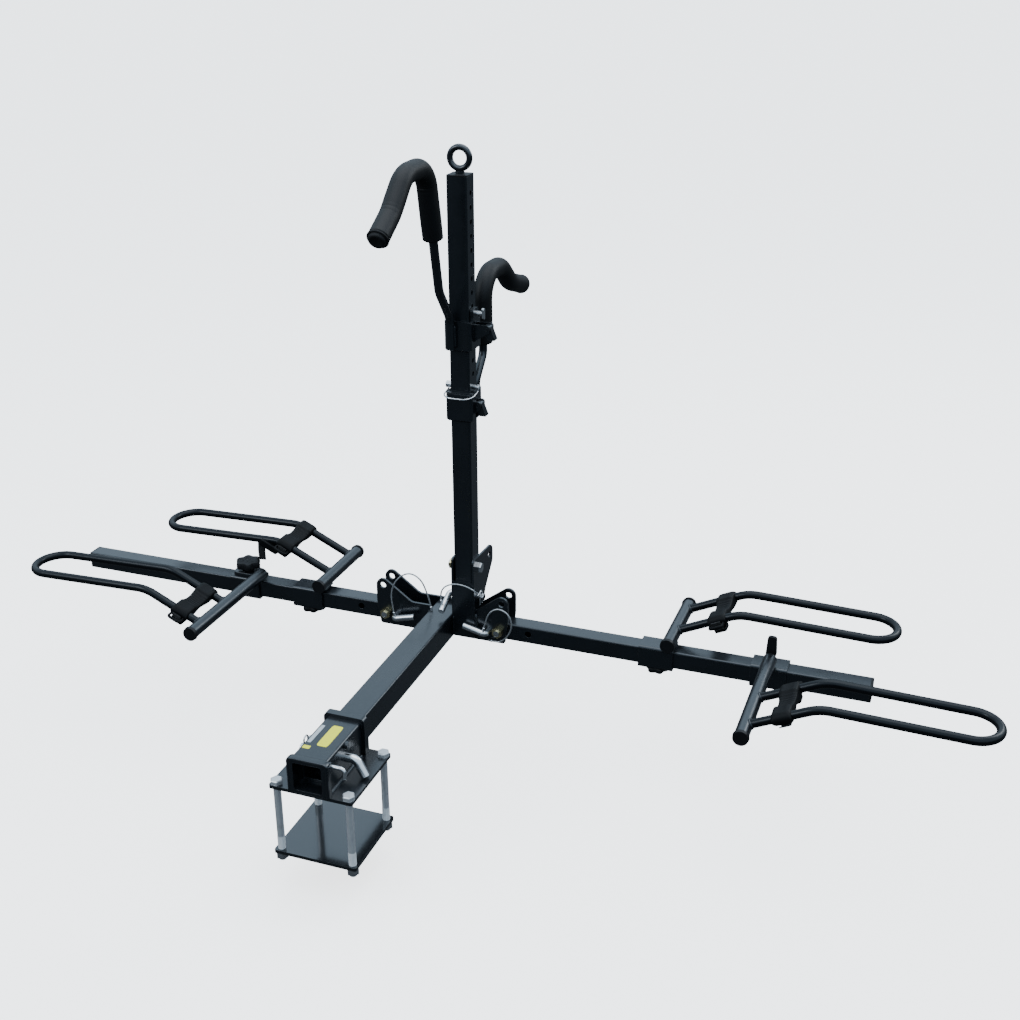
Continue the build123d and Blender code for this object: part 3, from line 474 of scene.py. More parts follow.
def closed_foam(name):
    """Closed-cell foam: open pores at two sizes, a soft sheen and dusty high spots."""
    material, tree, shader = blank(name, roughness=0.5, specular_tint=(0.95, 0.97, 1.0, 1.0),
                                   specular_ior_level=0.27)
    here = add(tree, "TexCoord").outputs["Object"]
    fine = add(tree, "TexVoronoi", {"Vector": here, "Scale": 900.0}).outputs["Distance"]
    coarse = add(tree, "TexVoronoi", {"Vector": here, "Scale": 320.0}).outputs["Distance"]
    pores = math(tree, "ADD", math(tree, "MULTIPLY", fine, 0.6), math(tree, "MULTIPLY", coarse, 0.4))
    cloud = object_noise(tree, 30.0, 5.0, 0.65)
    tint = between(tree, cloud, (0.002, 0.0023, 0.0027), (0.0045, 0.005, 0.006))
    dusty = placed(tree, DUST, Amount=0.02)["Mask"]
    tree.links.new(between(tree, dusty, tint, DUST_ON_FOAM), shader.inputs["Base Color"])
    bump(tree, shader, pores, 0.35, 0.0003)
    return material


def along_uv(tree, scale):
    """The piece's own UV map, scaled."""
    here = add(tree, "TexCoord").outputs["UV"]
    return add(tree, "Mapping", {"Vector": here, "Scale": scale}).outputs[0]


def stripes(tree, vector, scale, direction):
    """Soft stripes, from 0 to 1."""
    inputs = {"Vector": vector, "Scale": scale}
    return add(tree, "TexWave", inputs, bands_direction=direction).outputs["Fac"]


def coated_wire(name):
    """Stranded steel under clear plastic: the lay shows as slanting bands along the wire."""
    material, tree, shader = blank(name, metallic=0.75, coat_weight=0.6, coat_roughness=0.2)
    bands = stripes(tree, along_uv(tree, (180.0, 6.0, 1.0)), 1.0, "DIAGONAL")
    tint = between(tree, bands, (0.22, 0.23, 0.24), (0.52, 0.53, 0.55))
    tree.links.new(tint, shader.inputs["Base Color"])
    tree.links.new(spread(tree, bands, 0.42, 0.26), shader.inputs["Roughness"])
    bump(tree, shader, bands, 0.3)
    return material


def printed_film(name, colour, fade):
    """Vinyl sticker without any print: even colour that fades and scuffs in patches."""
    material, tree, shader = blank(name, coat_weight=0.3)
    cloud = object_noise(tree, 60.0, 6.0, 0.7)
    scuffs = window(tree, object_noise(tree, 240.0, 4.0, 0.8), 0.6, 0.7)
    tint = between(tree, cloud, colour, fade)
    worn = math(tree, "MULTIPLY", scuffs, 0.4)
    tree.links.new(between(tree, worn, tint, SCUFFED_FILM), shader.inputs["Base Color"])
    tree.links.new(spread(tree, cloud, 0.35, 0.5), shader.inputs["Roughness"])
    return material


def webbing(name):
    """Woven strap: a diagonal weave of two waves on the band's own UV, dull and dark."""
    material, tree, shader = blank(name, roughness=0.8, sheen_weight=0.15, specular_ior_level=0.2)
    run = along_uv(tree, (160.0, 24.0, 1.0))
    weave = math(tree, "MULTIPLY", stripes(tree, run, 1.0, "DIAGONAL"), stripes(tree, run, 1.4, "Y"))
    tint = between(tree, weave, (0.002, 0.002, 0.0022), (0.012, 0.012, 0.013))
    tree.links.new(tint, shader.inputs["Base Color"])
    bump(tree, shader, weave, 0.5, 0.0004)
    return material


BLACK = powder_coat("black_powder_coat", (0.0025, 0.003, 0.004), (0.0045, 0.006, 0.008),
                    (0.24, 0.34), 0.35, 0.06, coat=0.35)
GLOSS = powder_coat("glossy_black_coat", (0.003, 0.004, 0.005), (0.005, 0.006, 0.008),
                    (0.05, 0.12), 0.3, 0.03, peel=0.05, coat=0.8)
WELD = powder_coat("coated_weld_bead", (0.0035, 0.0045, 0.006), (0.006, 0.008, 0.01),
                   (0.32, 0.45), 0.2, 0.12, grain=600.0, peel=0.4)
ZINC = plated("bright_zinc", (0.6, 0.61, 0.63), (0.84, 0.85, 0.87), (0.16, 0.28))
DULL_ZINC = plated("dull_zinc", (0.56, 0.57, 0.59), (0.72, 0.73, 0.75), (0.24, 0.36), metal=0.6)
THREADS = plated("zinc_threads", (0.8, 0.81, 0.83), (0.95, 0.95, 0.95), (0.3, 0.45), metal=0.35)
HOOP_COAT = powder_coat("hoop_coat", (0.002, 0.0023, 0.0028), (0.004, 0.0045, 0.0055),
                        (0.2, 0.32), 0.3, 0.03, coat=0.05, shine=0.22)
BLOCK_PLASTIC = moulded("block_plastic", (0.0022, 0.0022, 0.0025), (0.0045, 0.0045, 0.005),
                        (0.42, 0.58), shine=0.12)
YELLOW_ZINC = plated("yellow_zinc", (0.55, 0.47, 0.24), (0.7, 0.62, 0.38), (0.2, 0.34), (0.3, 0.22, 0.1))
PLASTIC = moulded("black_plastic", (0.003, 0.003, 0.0035), (0.007, 0.007, 0.008), (0.38, 0.52))
RUBBER = moulded("black_rubber", (0.003, 0.003, 0.0035), (0.008, 0.008, 0.0085), (0.5, 0.7), 900.0, 0.35)
FOAM = closed_foam("hook_foam")
WIRE = coated_wire("coated_wire")
YELLOW_FILM = printed_film("yellow_film", (0.86, 0.84, 0.0), (0.8, 0.76, 0.0))
PALE_FILM = printed_film("pale_film", (0.5, 0.54, 0.56), (0.34, 0.38, 0.42))
WEBBING = webbing("strap_webbing")

slot_of = {row["node"]: row["material_slot"] for row in frame["record"]["subparts"]}
finish_of = {"black_coat": BLACK, "gloss_coat": GLOSS, "zinc": ZINC, "yellow_zinc": YELLOW_ZINC,
             "wire": WIRE, "black_plastic": PLASTIC, "foam": FOAM}
for node_name, node in frame["nodes"].items():
    node.data.materials.clear()
    node.data.materials.append(finish_of[slot_of[node_name]])
frame["nodes"]["bumper_bolts"].data.materials[0] = DULL_ZINC
for holder in HOLDERS:
    frame["nodes"][f"{holder}_hoop"].data.materials[0] = HOOP_COAT


# Camera at the photograph's viewing angle
VIEW_TURN = radians(20.11)
VIEW_HEIGHT = radians(23.63)
VIEW_ROLL = radians(-0.2)
EYE = (0.93746, -1.68259, 1.31062)
LENS = 47.72

back = Vector((sin(VIEW_TURN) * cos(VIEW_HEIGHT), -cos(VIEW_TURN) * cos(VIEW_HEIGHT), sin(VIEW_HEIGHT)))
level = Vector((cos(VIEW_TURN), sin(VIEW_TURN), 0))
upright = back.cross(level)
right = level * cos(VIEW_ROLL) + upright * sin(VIEW_ROLL)
up = upright * cos(VIEW_ROLL) - level * sin(VIEW_ROLL)
lens = bpy.data.cameras.new("camera")
lens.lens = LENS
camera = bpy.data.objects.new("camera", lens)
camera.matrix_world = Matrix.Translation(EYE) @ Matrix((right, up, back)).transposed().to_4x4()
bpy.context.scene.collection.objects.link(camera)
bpy.context.scene.camera = camera


# Safety wires: each goes from a ring round its lock pin to the frame, in a springy loop
LANYARDS = {
    "left_lanyard": [
        (-94, 467, 43.6), (-99, 467, 70), (-101, 470, 99), (-87, 473, 127),
        (-62, 475, 142), (-38, 476, 130), (-27, 477, 102), (-21, 478, 80), (-18, 478, 63.8),
    ],
    "right_lanyard": [
        (94, 467, 43.6), (99, 466, 66), (107, 467, 88), (125, 468, 99), (145, 469, 90),
        (153, 470, 68), (147, 471, 45), (130, 473, 24), (112, 476, 20), (100, 482.6, 18),
    ],
    "mast_lanyard": [
        (10, 463, 90.6), (6, 465, 108), (12, 467, 126), (32, 469, 136), (55, 470, 135),
        (73, 472, 127), (79, 478, 117), (80, 485.5, 108),
    ],
}


def wire_curve(name, points):
    """Curve of one smooth spline whose control points are the wire's route."""
    curve = bpy.data.curves.new(name, "CURVE")
    curve.dimensions = "3D"
    curve.resolution_u = 12
    curve.bevel_depth = WIRE_RADIUS * MM
    curve.bevel_resolution = 3
    curve.use_fill_caps = True
    spline = curve.splines.new("NURBS")
    spline.points.add(len(points) - 1)
    rows = np.hstack([np.array(points, float) * MM, np.ones((len(points), 1))])
    spline.points.foreach_set("co", rows.ravel())
    spline.order_u = 3
    spline.use_endpoint_u = True
    return curve


def centre_line(piece):
    """Points along a curve's own line, in millimetres."""
    bare = piece.copy()
    bare.data = piece.data.copy()
    bare.data.bevel_depth = 0
    mesh = bpy.data.meshes.new_from_object(bare)
    points = np.zeros(len(mesh.vertices) * 3)
    mesh.vertices.foreach_get("co", points)
    bpy.data.meshes.remove(mesh)
    bpy.data.objects.remove(bare)
    return points.reshape(-1, 3) / MM


def crimp(name, route):
    """Pressed sleeve: r(s) bulges and pinches twice along the wire."""
    share = along(route) / along(route)[-1]
    radius = CRIMP_RADIUS * (1 - CRIMP_PINCH * np.cos(share * 3 * pi) ** 2)
    radius[[0, -1]] = WIRE_RADIUS + 0.1
    grid = tube(route, radius[:, None], (0.3, 1.0, 0.2), 18)
    return crease(skin(name, grid, ZINC, "frame"), 45)


def ends_of(line):
    """First and last stretch of a wire, as long as a crimp, each resampled evenly."""
    made = []
    for points in (line, line[::-1]):
        distance = along(points)
        wanted = np.linspace(CRIMP_START, CRIMP_START + CRIMP_LENGTH, 12)
        made.append(np.stack([np.interp(wanted, distance, points[:, i]) for i in range(3)], 1))
    return made


for name, points in LANYARDS.items():
    lanyard = place(name + "_wire", wire_curve(name + "_wire", points), WIRE, "frame")
    crimps = [crimp(f"{name}_crimp_{number}", route)
              for number, route in enumerate(ends_of(centre_line(lanyard)))]
    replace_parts(lanyard, name)


# Foam grips and their end plugs. Each hook has the x of its rod, the side of the mast that it is on,
# its route as (y, z), its bend radii and the height where its foam starts.
HOOKS = {
    "upper": (
        38.5, -1,
        [(466.2, 606), (466.2, 664), (421, 721), (374, 942), (290, 942), (236, 890), (189, 862)],
        [30.0, 40.0, 47.0, 56.0, 100.0],
        817.0,
    ),
    "lower": (
        59.2, 1,
        [(534.2, 473), (534.2, 528), (574, 570), (575, 716), (665, 716), (716, 672), (781, 652)],
        [30.0, 26.0, 46.0, 56.0, 80.0],
        590.0,
    ),
}


def foam_grip(hook, x, places, radii, foam_start):
    """Foam sleeve on a bent rod: a tube with rounded ends, creased on the inside of its bends.

    r(s, t) = R - crease(s) cos^2 on the inner side - a slow swell, and a bore just over the rod.
    """
    share = (foam_start - places[2][1]) / (places[3][1] - places[2][1])
    start_y = places[2][0] + (places[3][0] - places[2][0]) * share
    corners = [(x, start_y, foam_start)] + [(x, y, z) for y, z in places[3:]]
    route = rounded_route(corners, radii[2:], FOAM_STEP)
    distance = along(route)
    tangent, _, rise = frames(route, (1, 0, 0))
    bend = np.gradient(tangent, axis=0) / np.gradient(distance)[:, None]
    tightness = np.clip(np.linalg.norm(bend, axis=1) / FOAM_TIGHT_BEND, 0, 1)
    count = 48
    angle = np.linspace(0, 2 * pi, count, endpoint=False)
    inner = np.einsum("ij,ij->i", unit(bend + 1e-9), rise)[:, None] * np.sin(angle)
    phase = distance * 2 * pi / FOAM_FOLD_SPACING + 0.8 * np.sin(distance / 13.0)
    folds = (0.5 + 0.5 * np.cos(phase))[:, None]
    crease_depth = FOAM_FOLD_DEPTH * tightness[:, None] * np.clip(inner, 0, 1) ** 2 * folds ** 4
    swell = 0.25 * np.sin(distance / 41.0)[:, None] + 0.15 * np.sin(distance / 17.0)[:, None]
    from_end = np.minimum(distance, distance[-1] - distance)[:, None]
    inset = np.clip(FOAM_ROUNDING - from_end, 0, FOAM_ROUNDING)
    rounding = FOAM_ROUNDING - np.sqrt(FOAM_ROUNDING ** 2 - inset ** 2)
    shell = tube(route, FOAM_RADIUS - 0.4 + swell - crease_depth - rounding, (1, 0, 0), count)
    lining = tube(route[::-1], HOOK_ROD_RADIUS + 0.2, (1, 0, 0), count)[:, ::-1]
    lining = np.roll(lining, 1, axis=1)
    name = f"{hook}_foam_sleeve"
    piece = skin(name, np.vstack([shell, lining]), FOAM, f"{hook}_hook", ring=True)
    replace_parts(outward(piece), f"{hook}_foam_grip")
    crease(piece, 50)
    return route


def end_plug(hook, route):
    """Rubber cap on the end of the hook: a rolled flange, a groove and a dished dome."""
    r = FOAM_RADIUS + 0.6
    profile = [(0.02, 0.3), (r - 1.2, 0.3), (r - 0.3, 0.8), (r, 1.7), (r - 0.1, 2.6), (r - 0.9, 3.5),
               (r - 2.2, 3.8), (r - 3.2, 3.6), (r - 3.7, 4.2), (r - 3.9, 6.4), (r - 4.7, 8.2),
               (r - 6.4, 9.3), (r - 8.4, 9.5), (r - 10.4, 8.9), (r - 13.0, 8.2), (0.02, 8.0)]
    grid = turned(profile, route[-1] - route[-2], route[-1], (1, 0, 0), 48)
    piece = skin(f"{hook}_end_cap", grid, RUBBER, f"{hook}_hook")
    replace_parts(crease(outward(piece), 60), f"{hook}_end_plug")


for hook, (x, _, places, radii, foam_start) in HOOKS.items():
    end_plug(hook, foam_grip(hook, x, places, radii, foam_start))


# Threads on the bumper bolts
def bolt_thread(name, x, y):
    """Rolled thread: r(z, t) = R + rise (triangle wave of z / pitch - t / turn), tapered at its ends."""
    z = np.arange(BOLT_END, THREAD_TOP, THREAD_PITCH / 8)
    angle = np.linspace(0, 2 * pi, 24, endpoint=False)
    phase = (z[:, None] / THREAD_PITCH - angle / (2 * pi)) % 1.0
    wave = 1 - np.abs(2 * phase - 1)
    fade = np.clip(np.minimum(z - BOLT_END, THREAD_TOP - z) / THREAD_FADE, 0, 1)[:, None]
    r = BOLT_RADIUS + 0.02 + THREAD_RISE * wave * fade
    grid = np.stack([x + r * np.cos(angle), y + r * np.sin(angle),
                     np.broadcast_to(z[:, None], r.shape)], -1)
    return skin(name, grid, THREADS, "frame")


for number, (x, y) in enumerate([(-1, -1), (1, -1), (1, 1), (-1, 1)]):
    bolt_thread(f"bumper_bolt_thread_{number}", x * BOLT_PLACE, y * BOLT_PLACE)


# Weld beads
def weld(name, start, end, wall, floor, size, body):
    """Fillet weld between a wall and a floor, rippled: p = c(s) + r(s) (cos t floor + sin t wall)."""
    start, end, wall, floor = (np.array(v, float) for v in (start, end, wall, floor))
    length = np.linalg.norm(end - start)
    s = np.linspace(0, length, max(12, int(length / WELD_STEP)))
    ripple = 1 + 0.14 * np.abs(np.sin(pi * s / WELD_RIPPLE)) + 0.06 * np.sin(s / 7.3)
    fade = np.sqrt(np.clip(np.minimum(s, length - s) / (1.2 * size), 0.02, 1))
    angle = np.linspace(0, pi / 2, 9)
    spoke = np.cos(angle)[:, None] * floor + np.sin(angle)[:, None] * wall
    line = (start + (end - start) * (s / length)[:, None])[:, None]
    arc = line + (size * ripple * fade)[:, None, None] * spoke
    grid = np.concatenate([arc, line - WELD_SINK * (floor + wall)], 1)
    return crease(outward(skin(name, grid, WELD, body)), 60)


# Welds of the frame: start, end, the ways along its wall and its floor, and size
FRAME_WELDS = {
    "receiver_weld_left": ((-RECEIVER_HALF, -72, PLATE_TOP), (-RECEIVER_HALF, 54, PLATE_TOP),
                           (0, 0, 1), (-1, 0, 0), 4.0),
    "receiver_weld_right": ((RECEIVER_HALF, -72, PLATE_TOP), (RECEIVER_HALF, 54, PLATE_TOP),
                            (0, 0, 1), (1, 0, 0), 4.0),
    "shank_weld_left": ((-SHANK_HALF, HUB_FRONT, 16), (-SHANK_HALF, HUB_FRONT, 62),
                        (0, -1, 0), (-1, 0, 0), 4.0),
    "bracket_weld_right": ((BRACKET_RIGHT, HUB_FRONT, 22), (BRACKET_RIGHT, HUB_FRONT, 70),
                           (0, -1, 0), (1, 0, 0), 4.0),
    "bracket_weld_shank": ((30, BRACKET_FRONT, 20), (30, BRACKET_FRONT, 62),
                           (0, -1, 0), (-1, 0, 0), 3.5),
}
for name, facts in FRAME_WELDS.items():
    weld(name, *facts, "frame")
for hook, (x, sign, places, _, _) in HOOKS.items():
    y = MAST_Y + sign * SLEEVE_HALF
    low = places[0][1]
    for side in (-1, 1):
        foot = x + side * ROD_WELD_ASIDE
        weld(f"{hook}_rod_weld_{side + 1}", (foot, y, low), (foot, y, low + ROD_WELD_LENGTH),
             (0, sign, 0), (side, 0, 0), 4.2, f"{hook}_hook")


def rod_weld(name, arm_x, side, y, body):
    """Ring weld where a rod leaves the arm tube: t(f)^2 = R^2 - r^2 sin^2 f along the rod."""
    axis = np.array([side * cos(HOOP_SLOPE), 0, sin(HOOP_SLOPE)])
    across = np.array([0.0, 1.0, 0.0])
    rise = np.cross(axis, across)
    turn = np.linspace(0, 2 * pi, 48, endpoint=False)[:, None]
    reach = np.sqrt(ARM_RADIUS ** 2 - (HOOP_ROD_RADIUS * np.sin(turn)) ** 2)
    spoke = np.cos(turn) * across + np.sin(turn) * rise
    ring = np.array([arm_x, y, ARM_Z]) + reach * axis + HOOP_ROD_RADIUS * spoke
    bead = (ROD_WELD_RADIUS * (1 + 0.13 * np.abs(np.sin(6.5 * turn))))[:, None]
    angle = np.linspace(0, 2 * pi, 12, endpoint=False)[None, :, None]
    grid = ring[:, None] + bead * (np.cos(angle) * spoke[:, None] + np.sin(angle) * axis)
    return outward(skin(name, grid, WELD, body, ring=True))


# The weld of an arm stops short of a knob that stands on the clamp
for holder, (_, arm_x, hoop_y, kind) in HOLDERS.items():
    body = f"{holder}_holder"
    side = -1 if arm_x < 0 else 1
    arm_start = BEAM_Y - ARM_WELD_REACH
    arm_end = BEAM_Y + (ARM_WELD_REACH if kind == "under" else ARM_WELD_SHORT)
    for number, sign in enumerate((-1, 1)):
        foot = arm_x + sign * ARM_WELD_ASIDE
        weld(f"{holder}_arm_weld_{number}", (foot, arm_start, CLAMP_TOP), (foot, arm_end, CLAMP_TOP),
             (0, 0, 1), (sign, 0, 0), 4.6, body)
        rod_weld(f"{holder}_rod_weld_{number}", arm_x, side, hoop_y + sign * HOOP_HALF_WIDTH, body)


# Cross blocks with their strap rings, straps and buckles
def block_plane(holder):
    """Middle of a cross block, then its directions along the rods, across them and up."""
    arm_x, hoop_y = HOLDERS[holder][1:3]
    side = -1 if arm_x < 0 else 1
    run = BLOCKS[holder][0]
    centre = np.array([arm_x + side * run, hoop_y, ARM_Z + run * tan(HOOP_SLOPE)])
    return (centre, np.array([side * cos(HOOP_SLOPE), 0, sin(HOOP_SLOPE)]), np.array([0.0, 1.0, 0.0]),
            np.array([-side * sin(HOOP_SLOPE), 0, cos(HOOP_SLOPE)]))


def on_block(holder, a, b, c):
    """Points a along the rods, b across them and c up from the middle of a cross block."""
    centre, along_rods, across, upward = block_plane(holder)
    a, b, c = (np.asarray(part, float)[..., None] for part in (a, b, c))
    return centre + b * across + a * along_rods + c * upward


def cross_block(holder):
    """Moulded saddle on both rods: p(u, t) = c + u across + W(u) cos^n t along + h(u, sin^n t) up.

    The top is a cradle arc with low ribs, the ends are half-round lobes, and the waist is narrower.
    """
    u = BLOCK_HALF * np.sin(np.linspace(-pi / 2, pi / 2, 145))[:, None]
    away = np.abs(u)
    angle = np.linspace(0, 2 * pi, 72, endpoint=False)
    past = np.clip((away - (BLOCK_HALF - BLOCK_LOBE)) / BLOCK_LOBE, 0, 1)
    lobe = BLOCK_HEIGHT / 2 * np.sqrt(np.clip(1 - past ** 2, 1e-4, 1))
    arc = BLOCK_HEIGHT / 2 + CRADLE_RADIUS - CRADLE_DEPTH
    arc = arc - np.sqrt(np.clip(CRADLE_RADIUS ** 2 - u ** 2, 0, None))
    waist = np.where(away < WAIST_HALF, 0.5 + 0.5 * np.cos(pi * u / WAIST_HALF), 0)
    top = np.minimum(lobe, np.where(away < CRADLE_HALF, arc, lobe))
    under = -lobe + WAIST_RISE * waist
    ribs = np.where(away < RIBS_HALF, 0.5 - 0.5 * np.cos(2 * pi * u / RIB_SPACING), 0) * RIB_DEPTH
    width = (BLOCK_WIDTH / 2 - WAIST_NARROWING * waist) * rounder(np.cos(angle), 0.4)
    share = rounder(np.sin(angle), 0.5)
    height = (top + under) / 2 + (top - under) / 2 * share
    height = height - ribs * np.clip(share, 0, 1) ** 3
    channel = np.clip(1 - (width / CHANNEL_HALF) ** 4, 0, 1) * np.clip(share, 0, 1) ** 3
    height = height - CHANNEL_DEPTH * channel * np.clip(1 - past * 3, 0, 1)
    piece = skin(f"{holder}_saddle", on_block(holder, width, u, height), BLOCK_PLASTIC,
                 f"{holder}_holder")
    return crease(outward(piece), 45)


def strap_ring(holder):
    """Moulded ring at one end of the block: a rounded-square path with an oval section."""
    path = np.linspace(0, 2 * pi, 72, endpoint=False)[:, None]
    section = np.linspace(0, 2 * pi, 20, endpoint=False)[None]
    out = RING_THICKNESS * np.cos(section)
    a = (RING_HALF_WIDTH + out) * rounder(np.sin(path), 0.5)
    b = BLOCKS[holder][1] * (RING_PLACE + (RING_HALF_LENGTH + out) * rounder(np.cos(path), 0.5))
    c = RING_HEIGHT * np.sin(section) - RING_DROP
    piece = skin(f"{holder}_strap_ring", on_block(holder, a, b, c), BLOCK_PLASTIC,
                 f"{holder}_holder", ring=True)
    return outward(piece)


def band(name, route, reference, body, width=STRAP_WIDTH, thickness=STRAP_THICKNESS):
    """Flat strap: p(s, t) = c(s) + W cos^n t side + H sin^n t rise, slightly wavy, with its own UV."""
    _, side, rise = frames(route, reference)
    angle = np.linspace(0, 2 * pi, 32, endpoint=False)
    half = width / 2 * (1 - 0.02 * np.sin(along(route) / 5.0))[:, None]
    flat = half * rounder(np.cos(angle), 0.4)
    thick = thickness / 2 * rounder(np.sin(angle), 0.5)
    grid = route[:, None] + flat[..., None] * side[:, None] + thick[:, None] * rise[:, None]
    piece = skin(name, grid, WEBBING, body)
    uv = piece.data.uv_layers.new(name="UVMap")
    loops = np.zeros(len(piece.data.loops), int)
    piece.data.loops.foreach_get("vertex_index", loops)
    row, column = loops // len(angle), loops % len(angle)
    distance = np.append(along(route), [0, along(route)[-1]])[np.clip(row, 0, len(route) + 1)]
    place_on = np.stack([distance * MM * 10, np.cos(angle[column]) * 0.5 + 0.5], 1)
    uv.data.foreach_set("uv", place_on.ravel())
    return crease(outward(piece), 50)


def buckle(name, holder, middle, size):
    """Ratchet buckle of the strap: a box with soft edges, |x|^n + |y|^n + |z|^n = 1 for n = 8."""
    turn = np.linspace(0, 2 * pi, 48, endpoint=False)[None]
    tilt = np.linspace(-pi / 2 + 0.02, pi / 2 - 0.02, 25)[:, None]
    a = middle[0] + size[0] * rounder(np.cos(tilt), 0.25) * rounder(np.cos(turn), 0.25)
    b = middle[1] + size[1] * rounder(np.cos(tilt), 0.25) * rounder(np.sin(turn), 0.25)
    c = middle[2] + size[2] * rounder(np.sin(tilt), 0.25)
    piece = skin(name, on_block(holder, a, b, c), BLOCK_PLASTIC, f"{holder}_holder")
    return crease(outward(piece), 40)


# Each strap lies under its block, comes up through the ring and has its buckle under the same lobe.
# Its route and its buckle are given along the rods, across them and up, from the block's middle.
STRAP = np.array([(0, -56, -12), (0, -46, -17), (0, -4, -12.5), (0, 50, -17), (0, 61, -12), (0, 65, 4)])
STRAP_BENDS = [5, 20, 20, 4]
BUCKLE_ACROSS = 44.0
BUCKLE_DROP = -17.5
TAIL = [(-429, 541, 122), (-430, 541.5, 108), (-431, 542.5, 96), (-430, 542, 80)]
for holder, (_, end) in BLOCKS.items():
    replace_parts(cross_block(holder), f"{holder}_block")
    strap_ring(holder)
    a, b, c = STRAP.T
    route = rounded_route(on_block(holder, a, end * b, c), STRAP_BENDS, STRAP_STEP)
    band(f"{holder}_strap", route, block_plane(holder)[1], f"{holder}_holder")
    buckle(f"{holder}_buckle", holder, middle=(0, end * BUCKLE_ACROSS, BUCKLE_DROP), size=(12.0, 13.0, 4.0))
buckle("left_back_tail_buckle", "left_back", middle=(31, -49, -20), size=(22.0, 9.0, 8.0))
band("left_back_strap_tail", rounded_route(TAIL, [30, 30], STRAP_STEP), (1, 0, 0), "left_back_holder",
     width=17.0, thickness=2.6)


# Pad between the left front clamp and its knob, open in its middle for the stem
def clamp_pad(name, centre, half, hole, low, high, body):
    """Plate with a rounded-square outline and a round hole, its rim softened in four rings."""
    angle = np.linspace(0, 2 * pi, 72, endpoint=False)
    rows = []
    for share, z in ((0.97, low), (1.0, low + 0.8), (1.0, high - 1.2), (0.96, high)):
        rows.append(np.stack([centre[0] + share * half[0] * rounder(np.cos(angle), 0.45),
                              centre[1] + share * half[1] * rounder(np.sin(angle), 0.45),
                              np.full_like(angle, z)], -1))
    for radius, z in ((hole + 0.6, high), (hole, high - 0.6), (hole, low)):
        rows.append(np.stack([centre[0] + radius * np.cos(angle), centre[1] + radius * np.sin(angle),
                              np.full_like(angle, z)], -1))
    piece = skin(name, np.array(rows), BLACK, body, ring=True)
    return crease(outward(piece), 40)


clamp_pad("left_front_clamp_pad", centre=(-446.5, 507.5), half=(26.0, 20.0), hole=11.2,
          low=CLAMP_TOP, high=CLAMP_TOP + 9.5, body="left_front_holder")


# Hand knobs
def hand_knob(holder, foot, way, height, radius):
    """Scalloped knob, up or down from its foot: a rim with six finger hollows, dished on its face."""
    r = radius
    profile = [(0.02, 0), (r - 3, 0), (r - 1.2, 0.5), (r - 0.2, 0.16 * height), (r, 0.4 * height),
               (r - 0.4, 0.75 * height), (r - 2.2, 0.95 * height), (r - 4.5, height),
               (0.45 * r, height), (0.4 * r, height - 1.0), (0.02, height - 1.0)]
    centre = (HOLDERS[holder][0], BEAM_Y, foot)
    grid = turned(profile, (0, 0, way), centre, (1, 0, 0), 96, lobes=6, depth=0.2)
    piece = skin(f"{holder}_hand_knob", grid, PLASTIC, f"{holder}_knob")
    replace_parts(crease(outward(piece), 40), f"{holder}_knob")


def knob_stem(holder, height):
    """Neck of a knob that stands on its clamp: a turned collar, widest where it meets the knob."""
    profile = [(0.02, 0), (9.0, 0), (9.5, 0.8), (9.2, 8), (10.5, height)]
    centre = (HOLDERS[holder][0], BEAM_Y, CLAMP_TOP + KNOB_GAP)
    grid = turned(profile, (0, 0, 1), centre, (1, 0, 0), 48)
    return outward(skin(f"{holder}_knob_stem", grid, PLASTIC, f"{holder}_knob"))


for holder in ("left_back", "right_back"):
    hand_knob(holder, foot=CLAMP_BOTTOM - KNOB_GAP, way=-1, height=11.0, radius=23.0)
hand_knob("left_front", foot=CLAMP_TOP + 17.3, way=1, height=15.0, radius=27.0)
knob_stem("left_front", height=18.0)


# Raised rim round the receiver's near end, down to the plate on each side
def receiver_rim(name, near, far, side_rise, top_rise, corner):
    """Rim swept over the tube: p(s, t) = c(s) + a(t) out(s) + b(t) y, with a rounded section a, b.

    It stands further out at the sides than on top, where the folded mast's hook rod lies close above it.
    """
    half = RECEIVER_HALF
    top = RECEIVER_TOP
    bend = np.linspace(0, pi / 2, 10)
    left = np.stack([-(half - corner) - corner * np.cos(bend), top - corner + corner * np.sin(bend)], 1)
    line = np.vstack([[(-half, PLATE_TOP + 0.2)], left, left[::-1] * (-1, 1), [(half, PLATE_TOP + 0.2)]])
    out = np.vstack([[(-1, 0)], np.stack([-np.cos(bend), np.sin(bend)], 1),
                     np.stack([np.cos(bend[::-1]), np.sin(bend[::-1])], 1), [(1, 0)]])
    angle = np.linspace(0, 2 * pi, 28, endpoint=False)
    a = rounder(np.cos(angle), 0.5)
    b = rounder(np.sin(angle), 0.5)
    aside = (side_rise + 0.8) / 2 * a + (side_rise - 0.8) / 2
    above = (top_rise + 0.8) / 2 * a + (top_rise - 0.8) / 2
    grid = np.empty((len(line), len(angle), 3))
    grid[..., 0] = line[:, :1] + out[:, :1] * aside
    grid[..., 1] = (near + far) / 2 + (far - near) / 2 * b
    grid[..., 2] = line[:, 1:] + out[:, 1:] * above
    return crease(outward(skin(name, grid, BLACK, "frame")), 50)


receiver_rim("receiver_near_rim", near=-80.2, far=-67.0, side_rise=6.25, top_rise=2.5, corner=5.0)


